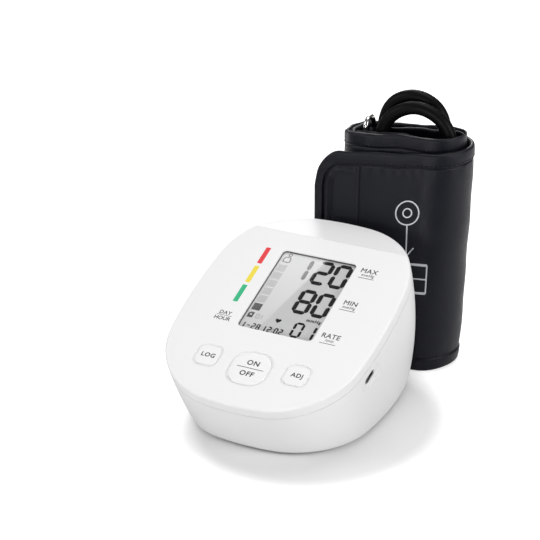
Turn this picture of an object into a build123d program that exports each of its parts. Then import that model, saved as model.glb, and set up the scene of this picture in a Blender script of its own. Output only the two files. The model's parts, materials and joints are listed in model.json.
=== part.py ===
from build123d import *
import os
from math import cos, pi, radians, sin, tan

# Upper-arm blood pressure monitor with its rolled cuff and air hose.
# Millimetres, +Z up. The origin is on the surface that the set stands on, midway between its outermost points.
# X runs to the right of someone who reads the display, Y runs away from them.

# ---------------------------------------------------------------- driving dimensions: where things stand
monitor_y = -31.0  # middle of the control panel, as seen from above
cuff_x = 20.2  # middle of the cuff's inner roll
cuff_stand_off = 27.46  # from the monitor's rear wall back to the same middle
cuff_turn = 4.0  # degrees that the cuff's long axis turns from X

# ---------------------------------------------------------------- driving dimensions: monitor housing
panel_tilt = 24.67  # degrees
panel_height = 60.8  # middle of the panel above the surface
panel_half_width = 58.5
panel_half_front = 69.0
panel_half_rear = 73.0
side_bulge = 7.0  # how far each side bows out between its corners
end_bulge = 9.0  # how far the front and the rear bow out
corner_flat = 5.5  # what the rounded corners leave of half the front
corner_draw = 0.6  # how much of the walls' draw the corner radius gives up
strip_length = 18.7  # the flatter strip behind the panel, along the slope
strip_tilt = 13.0  # degrees
shell_wall = 2.2
seam_depth = 6.4  # below the panel, along its normal
side_lean = 0.02  # how far the walls draw in per mm of depth
side_curl = 0.0018  # and per square mm
end_curl = 0.00148
section_depths = (6.4, 36.0, 70.0, 106.0)
base_height = 1.0  # underside of the housing above the surface
base_wall = 3.2
base_edge_radius = 3.0
rear_swell = 7.7  # how far the rear wall stands behind the panel's rear end
rear_edge_radius = 7.0
rim_radius = 1.3
crease_groove = 0.2  # radius of the fine line between the panel and the strip
crease_groove_end = 5.0  # how far that line stops short of the corners
seam_groove = 0.35  # width of the shadow line along the seam
seam_groove_depth = 0.9
lip_height = 2.0
lip_thickness = 1.0
lip_gap = 0.3

# ---------------------------------------------------------------- driving dimensions: display
window_width = 45.0
window_length = 58.5
window_corner = 2.5
lcd_corner = 1.0
lcd_gap = 0.1
window_x = 0.9
window_y = 12.05  # up the slope from the middle of the panel
window_ledge = 0.7  # what the step under the window leaves of the wall
lens_margin = 2.6
lens_thickness = 1.1
lens_corner = 1.5
lens_gap = 0.1
lcd_margin = 2.2
lcd_thickness = 2.6
lcd_drop = 0.1  # from the lens down to the display
frame_wall = 2.4
frame_ledge = 2.0
frame_top_depth = 2.4

# ---------------------------------------------------------------- driving dimensions: buttons
side_button_size = 12.5
side_button_corner = 3.5
side_button_x = 26.4
side_button_y = -41.1
main_button_width = 21.4
main_button_length = 21.0
main_button_corner = 8.0
main_button_y = -43.5
button_gap = 0.28
button_rise = 0.35
button_travel = 0.6
dish_margin = 1.2  # the shallow dish around each button
dish_depth = 0.45
flange_margin = 1.2
flange_thickness = 1.0
flange_gap = 0.15
stem_radius = 2.2
stem_length = 2.6
dome_gap = 0.95
dome_radius = 4.0
dome_top_radius = 2.4
pad_thickness = 0.9
pad_margin = 2.0

# ---------------------------------------------------------------- driving dimensions: board and sockets
board_depth = 11.5
board_thickness = 1.6
board_half_width = 42.0
board_neck_half_width = 34.0
board_front = -57.0
board_step = -12.0
board_rear = 44.0
board_corner = 3.0
board_post_places = ((-36.0, 37.0), (36.0, 37.0), (-31.0, -27.6), (31.0, -27.6))
board_ear_front = -22.4
board_ear_rear = -12.6
board_screw_radius = 1.25
board_screw_head_radius = 2.4
board_screw_head = 1.6
board_post_radius = 3.2
usb_depth = 13.2
usb_along = -20.7
usb_slot_length = 9.0
usb_slot_height = 3.3
usb_shell_wall = 0.35
usb_shell_length = 8.5
usb_setback = 0.8
usb_slot_gap = 0.35
usb_tongue_width = 6.2
usb_tongue_thickness = 0.7
usb_tongue_length = 5.0
usb_recess_length = 17.6
usb_recess_height = 10.4
usb_recess_chamfer = 3.6
usb_recess_deep = 0.5

# ---------------------------------------------------------------- driving dimensions: battery bay
cell_radius = 7.1
cell_length = 50.2
cell_pitch = 14.8
cell_count = 4
cell_nub_radius = 2.7
cell_nub_length = 1.4
bay_y = 15.0  # middle of the bay, behind the middle of the panel
bay_end_gap = 2.6
bay_side_gap = 0.6
bay_roof_gap = 0.5
bay_wall = 1.6
contact_thickness = 0.5
door_margin = 2.6
door_thickness = 2.0
door_gap = 0.25
door_seat_gap = 0.08  # above the closed door
door_pin_radius = 0.7
door_pin_length = 1.8
door_pin_clearance = 0.06
tongue_width = 16.0
tongue_height = 4.0
tongue_thickness = 1.2
latch_depth = 5.0
latch_gap = 0.45
latch_wall_margin = 1.0
grip_rib_pitch = 2.4
grip_rib_width = 1.0
grip_rib_depth = 0.5
grip_rib_count = 4
scoop_radius = 8.0
scoop_depth = 1.8
foot_radius = 5.0
foot_recess = 0.6
foot_gap = 0.1
front_foot_x = 26.0
front_foot_y = -34.0
rear_foot_x = 15.0
rear_foot_y = 60.0

# ---------------------------------------------------------------- driving dimensions: fixings
front_boss_x = 41.0
front_boss_y = -20.0
front_boss_top = 28.0
rear_boss_x = 26.0
rear_boss_y = 57.0
rear_boss_top = 62.0
boss_radius = 4.0
boss_bore_radius = 3.0
boss_cap = 2.5
screw_radius = 1.25
screw_hole_clearance = 0.1
screw_grip = 6.0
cut_spare = 1.0  # how far a cut runs past what it has to clear
screw_head_radius = 2.6
screw_head_height = 2.0

# ---------------------------------------------------------------- driving dimensions: air system
air_y = 36.0  # the straight air line from socket to pump, behind the middle of the panel
air_z = 38.0
nipple_radius = 1.95
nipple_bore = 1.0
nipple_reach = 0.2
tube_outer_radius = 3.2
tube_inner_radius = 2.0
socket_barrel_radius = 5.0
socket_bore_radius = 2.2
socket_bore_length = 9.0
socket_flange_radius = 7.0
socket_flange = 1.6
socket_recess = 1.2
socket_clearance = 0.1
socket_length = 11.6
socket_nipple = 3.5
tee_from_socket = 12.24
tee_size = 7.0
tee_arm = 4.0
pump_from_tee = 14.0
pump_head_length = 20.0
pump_head_size = 27.0
pump_head_corner = 5.0
pump_nipple = 3.6
shaft_gap = 4.0
motor_radius = 12.0
motor_length = 30.0
motor_flat = 9.6
shaft_radius = 1.0
shaft_clearance = 0.05
shaft_seat = 5.0
crank_radius = 4.5
crank_thickness = 1.8
saddle_length = 44.0
saddle_width = 22.0
saddle_gap = 0.1
saddle_inset = 2.0
saddle_corner = 2.0
saddle_top = 31.0
lug_width = 6.0
lug_thickness = 3.0
lug_offset = 9.0
valve_radius = 7.5
valve_length = 22.0
valve_y = 12.0
sensor_size = 8.0
sensor_height = 4.5
sensor_nipple = 3.6
sensor_bend_z = 48.0
sensor_bend_radius = 12.0
buzzer_radius = 6.0
buzzer_height = 4.0

# ---------------------------------------------------------------- driving dimensions: cuff
roll_half_straight = 18.0
roll_radius = 17.0
roll_height = 137.5
roll_foot = 0.0
hollow_shift = 2.0
hollow_half_straight = 22.0
hollow_radius = 9.0
bladder_thickness = 3.0
bladder_radius = 15.4  # outer face of the bladder from the roll's long axis
bladder_right = 12.0
bladder_bottom = 10.0
bladder_height = 116.0
pocket_gap = 0.15
wrap_gap = 1.4
wrap_thickness = 3.0
wrap_height = 130.0
wrap_free_end = -46.2
wrap_rear_end = -12.0
wrap_corner = 14.0
patch_length = 46.0
patch_height = 96.0
patch_thickness = 1.0
patch_left = -35.0
ring_wire_radius = 1.5
ring_u = -21.6
ring_half_width = 5.4
ring_corner = 4.5
ring_foot = 4.5
ring_height = 135.0
loop_wall = 0.8
loop_gap = 0.1
loop_length = 122.0
loop_foot = 12.0
port_radius = 4.2
port_foot = 8.0
port_flange_width = 14.0
port_flange_height = 12.0
port_flange_thickness = 0.8
port_stem_radius = 1.8
hose_radius = 3.7
plug_grip_radius = 4.2
plug_grip_length = 22.0
plug_pin_radius = 2.15
plug_pin_length = 12.0

os.makedirs("parts", exist_ok=True)

# ---------------------------------------------------------------- frames that everything is placed by
floor = Plane(origin=(0, monitor_y, 0))
corner_half_width = panel_half_width - side_bulge
crease_from_middle = panel_half_rear - strip_length
corner_front = panel_half_front - end_bulge
corner_rear = panel_half_rear - end_bulge
corner_radius = corner_half_width - corner_flat
housing_rear = panel_half_rear * cos(radians(panel_tilt)) + rear_swell
cuff_y = monitor_y + housing_rear + cuff_stand_off
panel_normal = (0, -sin(radians(panel_tilt)), cos(radians(panel_tilt)))
panel = Plane(origin=(0, monitor_y, panel_height), x_dir=(1, 0, 0), z_dir=panel_normal)
crease_y = monitor_y + crease_from_middle * cos(radians(panel_tilt))
crease_z = panel_height + crease_from_middle * sin(radians(panel_tilt))
strip_normal = (0, -sin(radians(strip_tilt)), cos(radians(strip_tilt)))
strip = Plane(origin=(0, crease_y, crease_z), x_dir=(1, 0, 0), z_dir=strip_normal)
cuff_along = (cos(radians(cuff_turn)), sin(radians(cuff_turn)), 0)
cuff = Plane(origin=(cuff_x, cuff_y, 0), x_dir=cuff_along, z_dir=(0, 0, 1))


def save(part, name):
    """Label one finished piece and write it as the STEP file of its node."""
    part.label = name
    export_step(part, f"parts/{name}.step")


def bulged_outline(half_width, front, rear, corner_x, corner_front_y, corner_rear_y, radius):
    """Four shallow arcs with rounded corners: the outline that the whole housing is drawn from."""
    with BuildSketch() as outline:
        with BuildLine():
            ThreePointArc((-corner_x, -corner_front_y), (0, -front), (corner_x, -corner_front_y))
            ThreePointArc((corner_x, -corner_front_y), (half_width, 0), (corner_x, corner_rear_y))
            ThreePointArc((corner_x, corner_rear_y), (0, rear), (-corner_x, corner_rear_y))
            ThreePointArc((-corner_x, corner_rear_y), (-half_width, 0), (-corner_x, -corner_front_y))
        make_face()
        fillet(outline.vertices(), radius)
    return outline.sketch


def housing_section(depth, inset):
    """The housing's outline at a depth below the panel, set in from the outer wall by inset."""
    side = side_lean * depth + side_curl * depth**2 + inset
    end = end_curl * depth**2 + inset
    return bulged_outline(
        panel_half_width - side,
        panel_half_front - end,
        panel_half_rear - end,
        corner_half_width - side,
        corner_front - end,
        corner_rear - end,
        corner_radius - corner_draw * (side - inset) - inset,
    )


def housing_loft(inset, base, rear):
    """A solid through all the sections, cut off flat at its base and its rear."""
    sections = [(depth, housing_section(depth, inset)) for depth in section_depths]
    with BuildPart() as body:
        for depth, section in sections:
            with BuildSketch(panel.offset(-depth)):
                add(section)
        loft()
        split(bisect_by=Plane.XY.offset(base), keep=Keep.TOP)
        split(bisect_by=Plane.XZ.offset(-(monitor_y + rear)), keep=Keep.TOP)
    return body.part


def top_solid(inset, drop):
    """The cap above the seam, cut by the panel and by the strip behind the crease, both lowered by drop."""
    section = housing_section(seam_depth, inset)
    with BuildPart() as cap:
        with BuildSketch(panel.offset(-seam_depth)):
            add(section)
        extrude(amount=seam_depth + crease_from_middle)
        split(bisect_by=panel.offset(-drop), keep=Keep.BOTTOM)
        split(bisect_by=strip.offset(-drop), keep=Keep.BOTTOM)
    return cap.part


def side_wall_x(along, depth):
    """How far the housing's right wall stands from its middle, at a place given in the panel's own terms."""
    bulge = panel_half_width - corner_half_width
    return panel_half_width - side_lean * depth - side_curl * depth**2 - bulge * (along / corner_front) ** 2


def along_of(y, z):
    """Distance up the panel's slope of a place y behind the panel's middle and z above the surface."""
    return y * cos(radians(panel_tilt)) + (z - panel_height) * sin(radians(panel_tilt))


def depth_of(y, z):
    """Depth below the panel, along its normal, of the same place."""
    return y * sin(radians(panel_tilt)) - (z - panel_height) * cos(radians(panel_tilt))


# ---------------------------------------------------------------- places worked out from the dimensions
button_list = (
    ("left_button", -side_button_x, side_button_y, side_button_size, side_button_size, side_button_corner),
    ("main_button", 0.0, main_button_y, main_button_width, main_button_length, main_button_corner),
    ("right_button", side_button_x, side_button_y, side_button_size, side_button_size, side_button_corner),
)
boss_list = (
    (-front_boss_x, front_boss_y, front_boss_top),
    (front_boss_x, front_boss_y, front_boss_top),
    (-rear_boss_x, rear_boss_y, rear_boss_top),
    (rear_boss_x, rear_boss_y, rear_boss_top),
)
foot_places = (
    (-front_foot_x, front_foot_y),
    (front_foot_x, front_foot_y),
    (-rear_foot_x, rear_foot_y),
    (rear_foot_x, rear_foot_y),
)
lens_width = window_width + 2 * lens_margin
lens_length = window_length + 2 * lens_margin
lcd_width = window_width + 2 * lcd_margin
lcd_length = window_length + 2 * lcd_margin
lens_back_depth = window_ledge + lens_thickness
lcd_top_depth = lens_back_depth + lcd_drop
crease_line_half = corner_half_width - crease_groove_end
stem_end_depth = shell_wall + flange_gap + flange_thickness + stem_length
board_back_depth = board_depth + board_thickness
usb_wall = side_wall_x(usb_along, usb_depth)
usb_mouth = usb_wall - usb_setback
usb_back = usb_mouth - usb_shell_length
usb_origin = panel.from_local_coords((0, usb_along, -usb_depth))
usb = Plane(origin=usb_origin, x_dir=panel.y_dir, z_dir=(1, 0, 0))
bay_width = (cell_count - 1) * cell_pitch + 2 * cell_radius + 2 * bay_side_gap
bay_length = cell_length + cell_nub_length + 2 * bay_end_gap
bay_floor = base_height + door_thickness
cell_z = bay_floor + bay_side_gap + cell_radius
bay_roof = cell_z + cell_radius + bay_roof_gap
bay_top = bay_roof + bay_wall
door_width = bay_width + 2 * door_margin
door_length = bay_length + 2 * door_margin
door_front = bay_y - door_length / 2
door_axis_y = door_front + door_gap + door_thickness / 2
door_axis_z = base_height + door_thickness / 2
latch_y = bay_y + door_length / 2 + latch_depth / 2
socket_face = side_wall_x(along_of(air_y, air_z), depth_of(air_y, air_z)) - socket_recess
socket_mouth = socket_face + socket_flange
socket_inner_end = socket_mouth - socket_length
tee_x = tee_from_socket - socket_inner_end
pump_head_left = tee_x + pump_from_tee
pump_head_right = pump_head_left + pump_head_length
motor_left = pump_head_right + shaft_gap
valve_tip_y = valve_y + valve_radius + socket_nipple
sensor_along = along_of(air_y, sensor_bend_z)
wrap_middle = roll_radius + wrap_gap + wrap_thickness / 2
bladder_inner = bladder_radius - bladder_thickness
port_u = -13.0
port_v = 4.6
port_top = 22.0
plug_u = 26.0
plug_v = -3.0
plug_top = 74.0

# ---------------------------------------------------------------- upper shell
outer_cap = top_solid(0, 0)
inner_cap = top_solid(shell_wall, shell_wall)
lip_root = housing_section(seam_depth, shell_wall / 2)
lip_outer = housing_section(seam_depth, shell_wall + lip_gap)
lip_inner = housing_section(seam_depth, shell_wall + lip_gap + lip_thickness)
with BuildPart() as upper_shell:
    add(outer_cap)
    panel_face = upper_shell.faces().filter_by(panel)[-1]
    strip_face = upper_shell.faces().filter_by(strip)[-1]
    rim_edges = (panel_face.edges() + strip_face.edges()).filter_by(GeomType.LINE, reverse=True)
    fillet(rim_edges, rim_radius)
    add(inner_cap, mode=Mode.SUBTRACT)
    # the lip that centres the shell in the lower housing
    with BuildSketch(panel.offset(-seam_depth)):
        add(lip_root)
        add(lip_inner, mode=Mode.SUBTRACT)
    extrude(amount=lip_thickness)
    with BuildSketch(panel.offset(-seam_depth)):
        add(lip_outer)
        add(lip_inner, mode=Mode.SUBTRACT)
    extrude(amount=-lip_height)
    # screw posts hang from the panel, down to the posts of the lower housing
    for x, y, top in boss_list:
        with BuildSketch(floor.offset(top)):
            with Locations((x, y)):
                Circle(boss_radius)
        post = extrude(amount=panel_height, mode=Mode.PRIVATE)
        post = split(post, bisect_by=panel.offset(-shell_wall / 2), keep=Keep.BOTTOM, mode=Mode.PRIVATE)
        add(split(post, bisect_by=strip.offset(-shell_wall / 2), keep=Keep.BOTTOM, mode=Mode.PRIVATE))
        with BuildSketch(floor.offset(top)):
            with Locations((x, y)):
                Circle(screw_radius + screw_hole_clearance)
        extrude(amount=screw_grip + cut_spare, mode=Mode.SUBTRACT)
    # the posts that the board is screwed to
    with BuildSketch(panel.offset(-board_depth)):
        with Locations(*board_post_places):
            Circle(board_post_radius)
    extrude(amount=board_depth - shell_wall / 2)
    with BuildSketch(panel.offset(-board_depth)):
        with Locations(*board_post_places):
            Circle(board_screw_radius + screw_hole_clearance)
    extrude(amount=screw_grip + cut_spare, mode=Mode.SUBTRACT)
    # the display window, with a step underneath that the lens is glued into
    with BuildSketch(panel):
        with Locations((window_x, window_y)):
            RectangleRounded(window_width, window_length, window_corner)
    extrude(amount=-shell_wall, mode=Mode.SUBTRACT)
    with BuildSketch(panel.offset(-shell_wall)):
        with Locations((window_x, window_y)):
            RectangleRounded(lens_width + 2 * lens_gap, lens_length + 2 * lens_gap, lens_corner)
    extrude(amount=shell_wall - window_ledge, mode=Mode.SUBTRACT)
    # the button openings, each in a shallow dish
    for name, x, y, width, length, corner in button_list:
        for margin, depth in ((button_gap, shell_wall), (button_gap + dish_margin, dish_depth)):
            with BuildSketch(panel):
                with Locations((x, y)):
                    RectangleRounded(width + 2 * margin, length + 2 * margin, corner + margin)
            extrude(amount=-depth, mode=Mode.SUBTRACT)
    # the fine lines along the seam and between the panel and the strip
    with BuildSketch(panel.offset(-seam_depth)):
        add(housing_section(seam_depth, -cut_spare))
        add(housing_section(seam_depth, seam_groove_depth), mode=Mode.SUBTRACT)
    extrude(amount=seam_groove, mode=Mode.SUBTRACT)
    with BuildSketch(Plane.YZ.offset(-crease_line_half)):
        with Locations((crease_y, crease_z)):
            Circle(crease_groove)
    extrude(amount=2 * crease_line_half, mode=Mode.SUBTRACT)
save(upper_shell.part, "upper_shell")

# ---------------------------------------------------------------- display
with BuildPart() as display_lens:
    with BuildSketch(panel.offset(-lens_back_depth)):
        with Locations((window_x, window_y)):
            RectangleRounded(lens_width, lens_length, lens_corner - lens_gap)
    extrude(amount=lens_thickness)
save(display_lens.part, "display_lens")

with BuildPart() as lcd_panel:
    with BuildSketch(panel.offset(-lcd_top_depth)):
        with Locations((window_x, window_y)):
            RectangleRounded(lcd_width, lcd_length, lcd_corner)
    extrude(amount=-lcd_thickness)
save(lcd_panel.part, "lcd_panel")

with BuildPart() as lcd_frame:
    with BuildSketch(panel.offset(-frame_top_depth)):
        with Locations((window_x, window_y)):
            RectangleRounded(
                lcd_width + 2 * (lcd_gap + frame_wall), lcd_length + 2 * (lcd_gap + frame_wall), frame_wall
            )
            Rectangle(lcd_width - 2 * frame_ledge, lcd_length - 2 * frame_ledge, mode=Mode.SUBTRACT)
    extrude(amount=frame_top_depth - board_depth)
    with BuildSketch(panel.offset(-frame_top_depth)):
        with Locations((window_x, window_y)):
            RectangleRounded(lcd_width + 2 * lcd_gap, lcd_length + 2 * lcd_gap, lcd_corner + lcd_gap)
    extrude(amount=frame_top_depth - lcd_top_depth - lcd_thickness, mode=Mode.SUBTRACT)
save(lcd_frame.part, "lcd_frame")

# ---------------------------------------------------------------- buttons
for name, x, y, width, length, corner in button_list:
    flange_margins = 2 * (button_gap + flange_margin)
    with BuildPart() as button:
        with BuildSketch(panel.offset(button_rise)):
            with Locations((x, y)):
                RectangleRounded(width, length, corner)
        extrude(amount=-(button_rise + shell_wall + flange_gap + flange_thickness / 2))
        fillet(button.faces().filter_by(panel).sort_by(Axis.Z)[-1].edges(), button_rise * 0.8)
        with BuildSketch(panel.offset(-shell_wall - flange_gap)):
            with Locations((x, y)):
                RectangleRounded(width + flange_margins, length + flange_margins, corner + flange_margin)
        extrude(amount=-flange_thickness)
        with BuildSketch(panel.offset(-stem_end_depth)):
            with Locations((x, y)):
                Circle(stem_radius)
        extrude(amount=stem_length)
    save(button.part, name)

with BuildPart() as button_pad:
    with BuildSketch(panel.offset(-board_depth)):
        pad_front = main_button_y - main_button_length / 2
        pad_rear = side_button_y + side_button_size / 2 + pad_margin
        with Locations((0, (pad_front + pad_rear) / 2)):
            RectangleRounded(2 * (board_neck_half_width - pad_margin), pad_rear - pad_front, pad_margin)
    extrude(amount=pad_thickness)
    dome_height = board_depth - pad_thickness - stem_end_depth - dome_gap
    for name, x, y, width, length, corner in button_list:
        with Locations(panel.offset(pad_thickness - board_depth) * Location((x, y, dome_height / 2))):
            Cone(dome_radius, dome_top_radius, dome_height)
save(button_pad.part, "button_pad")

# ---------------------------------------------------------------- main board and what is on it
with BuildPart() as main_board:
    with BuildSketch(panel.offset(-board_depth)) as board_outline:
        with BuildLine():
            Polyline(
                (-board_neck_half_width, board_front),
                (board_neck_half_width, board_front),
                (board_neck_half_width, board_ear_front),
                (usb_back, board_ear_front),
                (usb_back, board_ear_rear),
                (board_half_width, board_ear_rear),
                (board_half_width, board_rear),
                (-board_half_width, board_rear),
                (-board_half_width, board_step),
                (-board_neck_half_width, board_step),
                close=True,
            )
        make_face()
        fillet(board_outline.vertices().group_by(Axis.Y)[-1], board_corner)
        fillet(board_outline.vertices().group_by(Axis.Y)[0], board_corner)
        with Locations(*board_post_places):
            Circle(board_screw_radius + screw_hole_clearance, mode=Mode.SUBTRACT)
    extrude(amount=-board_thickness)
save(main_board.part, "main_board")

with BuildPart() as board_screws:
    for x, y in board_post_places:
        with BuildSketch(panel.offset(-board_back_depth)):
            with Locations((x, y)):
                Circle(board_screw_head_radius)
        extrude(amount=-board_screw_head)
        with BuildSketch(panel.offset(-board_back_depth)):
            with Locations((x, y)):
                Circle(board_screw_radius)
        extrude(amount=board_thickness + screw_grip)
save(board_screws.part, "board_screws")

with BuildPart() as usb_socket:
    with BuildSketch(usb.offset(usb_back)):
        SlotOverall(usb_slot_length, usb_slot_height)
    extrude(amount=usb_shell_length)
    with BuildSketch(usb.offset(usb_mouth)):
        SlotOverall(usb_slot_length - 2 * usb_shell_wall, usb_slot_height - 2 * usb_shell_wall)
    extrude(amount=-(usb_shell_length - 1), mode=Mode.SUBTRACT)
    with BuildSketch(usb.offset(usb_back + 1)):
        Rectangle(usb_tongue_width, usb_tongue_thickness)
    extrude(amount=usb_tongue_length)
save(usb_socket.part, "usb_socket")

with BuildPart() as pressure_sensor:
    with BuildSketch(panel.offset(-board_back_depth)):
        with Locations((tee_x, sensor_along)):
            Rectangle(sensor_size, sensor_size)
    extrude(amount=-sensor_height)
    with BuildSketch(panel.offset(-board_back_depth - sensor_height)):
        with Locations((tee_x, sensor_along)):
            Circle(nipple_radius)
    extrude(amount=-sensor_nipple)
save(pressure_sensor.part, "pressure_sensor")

with BuildPart() as buzzer:
    with BuildSketch(panel.offset(-board_back_depth)):
        with Locations((board_neck_half_width / 2, board_front + 2 * buzzer_radius)):
            Circle(buzzer_radius)
    extrude(amount=-buzzer_height)
save(buzzer.part, "buzzer")

# ---------------------------------------------------------------- lower housing
outer_body = housing_loft(0, base_height, housing_rear)
inner_body = housing_loft(shell_wall, base_height + base_wall, housing_rear - shell_wall)
recess_floor = housing_loft(usb_recess_deep, base_height, housing_rear - usb_recess_deep)
with BuildPart() as usb_recess:
    with BuildSketch(usb.offset(usb_wall)) as recess_outline:
        Rectangle(usb_recess_length, usb_recess_height)
        chamfer(recess_outline.vertices(), usb_recess_chamfer)
    extrude(amount=2 * usb_recess_height, both=True)
    add(recess_floor, mode=Mode.SUBTRACT)
with BuildPart() as lower_housing:
    add(outer_body)
    rear_face = lower_housing.faces().filter_by(Axis.Y).sort_by(Axis.Y)[-1]
    rear_edges = rear_face.edges() - rear_face.edges().filter_by(Axis.X).sort_by(Axis.Z)[:1]
    fillet(rear_edges, rear_edge_radius)
    base_face = lower_housing.faces().filter_by(Axis.Z).sort_by(Axis.Z)[0]
    fillet(base_face.edges(), base_edge_radius)
    add(inner_body, mode=Mode.SUBTRACT)
    # battery bay, open at the bottom
    with BuildSketch(floor.offset(base_height + base_wall / 2)):
        with Locations((0, bay_y)):
            Rectangle(bay_width + 2 * bay_wall, bay_length + 2 * bay_wall)
        with Locations((0, latch_y)):
            Rectangle(tongue_width + 2 * (bay_wall + latch_wall_margin), latch_depth + 2 * bay_wall)
    extrude(amount=bay_floor + tongue_height + bay_wall + latch_gap - base_height - base_wall / 2)
    with BuildSketch(floor.offset(base_height + base_wall / 2)):
        with Locations((0, bay_y)):
            Rectangle(bay_width + 2 * bay_wall, bay_length + 2 * bay_wall)
    extrude(amount=bay_top - base_height - base_wall / 2)
    with BuildSketch(floor.offset(base_height)):
        with Locations((0, bay_y)):
            Rectangle(bay_width, bay_length)
    extrude(amount=bay_roof - base_height, mode=Mode.SUBTRACT)
    # the step that the battery door lies in, the pocket for its latch and the holes for its pins
    with BuildSketch(floor.offset(base_height)):
        with Locations((0, bay_y)):
            Rectangle(door_width, door_length)
        with Locations((0, latch_y)):
            Rectangle(tongue_width + 2 * door_gap, latch_depth)
    extrude(amount=door_thickness + door_seat_gap, mode=Mode.SUBTRACT)
    with BuildSketch(floor.offset(base_height)):
        with Locations((0, latch_y)):
            Rectangle(tongue_width + 2 * door_gap, latch_depth)
    extrude(amount=door_thickness + tongue_height + latch_gap, mode=Mode.SUBTRACT)
    with BuildSketch(Plane.YZ):
        with Locations((monitor_y + door_axis_y, door_axis_z)):
            Circle(door_pin_radius + door_pin_clearance)
    extrude(amount=door_width / 2 + door_pin_length, both=True, mode=Mode.SUBTRACT)
    scoop_y = monitor_y + latch_y + latch_depth / 2
    with Locations((0, scoop_y, base_height + scoop_depth - scoop_radius)):
        Sphere(scoop_radius, mode=Mode.SUBTRACT)
    # screw posts, bored from below
    for x, y, top in boss_list:
        with BuildSketch(floor.offset(base_height + base_wall / 2)):
            with Locations((x, y)):
                Circle(boss_radius)
        extrude(amount=top - base_height - base_wall / 2)
        with BuildSketch(floor.offset(base_height)):
            with Locations((x, y)):
                Circle(boss_bore_radius)
        extrude(amount=top - boss_cap - base_height, mode=Mode.SUBTRACT)
        with BuildSketch(floor.offset(base_height)):
            with Locations((x, y)):
                Circle(screw_radius + screw_hole_clearance)
        extrude(amount=top - base_height, mode=Mode.SUBTRACT)
    # shallow wells that the feet are glued into
    with BuildSketch(floor.offset(base_height)):
        with Locations(*[(x, monitor_foot_y) for x, monitor_foot_y in foot_places]):
            Circle(foot_radius + foot_gap)
    extrude(amount=foot_recess, mode=Mode.SUBTRACT)
    # openings in the side walls for the USB socket and the air socket
    add(usb_recess.part, mode=Mode.SUBTRACT)
    with BuildSketch(usb.offset(usb_back)):
        SlotOverall(usb_slot_length + 2 * usb_slot_gap, usb_slot_height + 2 * usb_slot_gap)
    extrude(amount=2 * usb_shell_length, mode=Mode.SUBTRACT)
    with BuildSketch(Plane.YZ.offset(-socket_face)):
        with Locations((monitor_y + air_y, air_z)):
            Circle(socket_barrel_radius + socket_clearance)
    extrude(amount=2 * shell_wall, mode=Mode.SUBTRACT)
    with BuildSketch(Plane.YZ.offset(-socket_face)):
        with Locations((monitor_y + air_y, air_z)):
            Circle(socket_flange_radius + socket_clearance)
    extrude(amount=-2 * socket_recess, mode=Mode.SUBTRACT)
save(lower_housing.part, "lower_housing")

with BuildPart() as housing_screws:
    for x, y, top in boss_list:
        with BuildSketch(floor.offset(top - boss_cap - screw_head_height)):
            with Locations((x, y)):
                Circle(screw_head_radius)
        extrude(amount=screw_head_height)
        with BuildSketch(floor.offset(top - boss_cap)):
            with Locations((x, y)):
                Circle(screw_radius)
        extrude(amount=boss_cap + screw_grip)
save(housing_screws.part, "housing_screws")

with BuildPart() as rubber_feet:
    with BuildSketch(floor):
        with Locations(*[(x, monitor_foot_y) for x, monitor_foot_y in foot_places]):
            Circle(foot_radius)
    extrude(amount=base_height + foot_recess)
    fillet(rubber_feet.edges().filter_by(GeomType.CIRCLE).group_by(Axis.Z)[0], base_height / 3)
save(rubber_feet.part, "rubber_feet")

# ---------------------------------------------------------------- batteries, contacts and door
cell_places = [(cell_pitch * (number - (cell_count - 1) / 2), number % 2 * 2 - 1) for number in range(cell_count)]
with BuildPart() as aa_batteries:
    for x, way in cell_places:
        # way is +1 where the nub points to the rear and -1 where it points to the front
        middle_y = monitor_y + bay_y - way * cell_nub_length / 2
        with BuildSketch(Plane.XZ.offset(-middle_y + cell_length / 2)):
            with Locations((x, cell_z)):
                Circle(cell_radius)
        extrude(amount=-cell_length)
        with BuildSketch(Plane.XZ.offset(-middle_y - way * cell_length / 2)):
            with Locations((x, cell_z)):
                Circle(cell_nub_radius)
        extrude(amount=-way * cell_nub_length)
save(aa_batteries.part, "aa_batteries")

with BuildPart() as battery_contacts:
    for x, way in cell_places:
        for end in (-1, 1):
            wall_y = monitor_y + bay_y + end * bay_length / 2
            reach = bay_end_gap - contact_thickness - 0.15
            with BuildSketch(Plane.XZ.offset(-wall_y + end * contact_thickness / 2)):
                with Locations((x, cell_z)):
                    Rectangle(cell_radius * 1.4, cell_radius * 1.5)
            extrude(amount=contact_thickness / 2, both=True)
            # a sprung leaf bows out from the plate to the end of the cell
            with BuildSketch(Plane.YZ.offset(x)):
                with BuildLine():
                    leaf = ThreePointArc(
                        (wall_y - end * contact_thickness, cell_z - cell_nub_radius * 1.5),
                        (wall_y - end * (contact_thickness + reach), cell_z),
                        (wall_y - end * contact_thickness, cell_z + cell_nub_radius * 1.5),
                    )
                    Line(leaf @ 1, leaf @ 0)
                make_face()
            extrude(amount=cell_nub_radius * 0.7, both=True)
save(battery_contacts.part, "battery_contacts")

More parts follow.
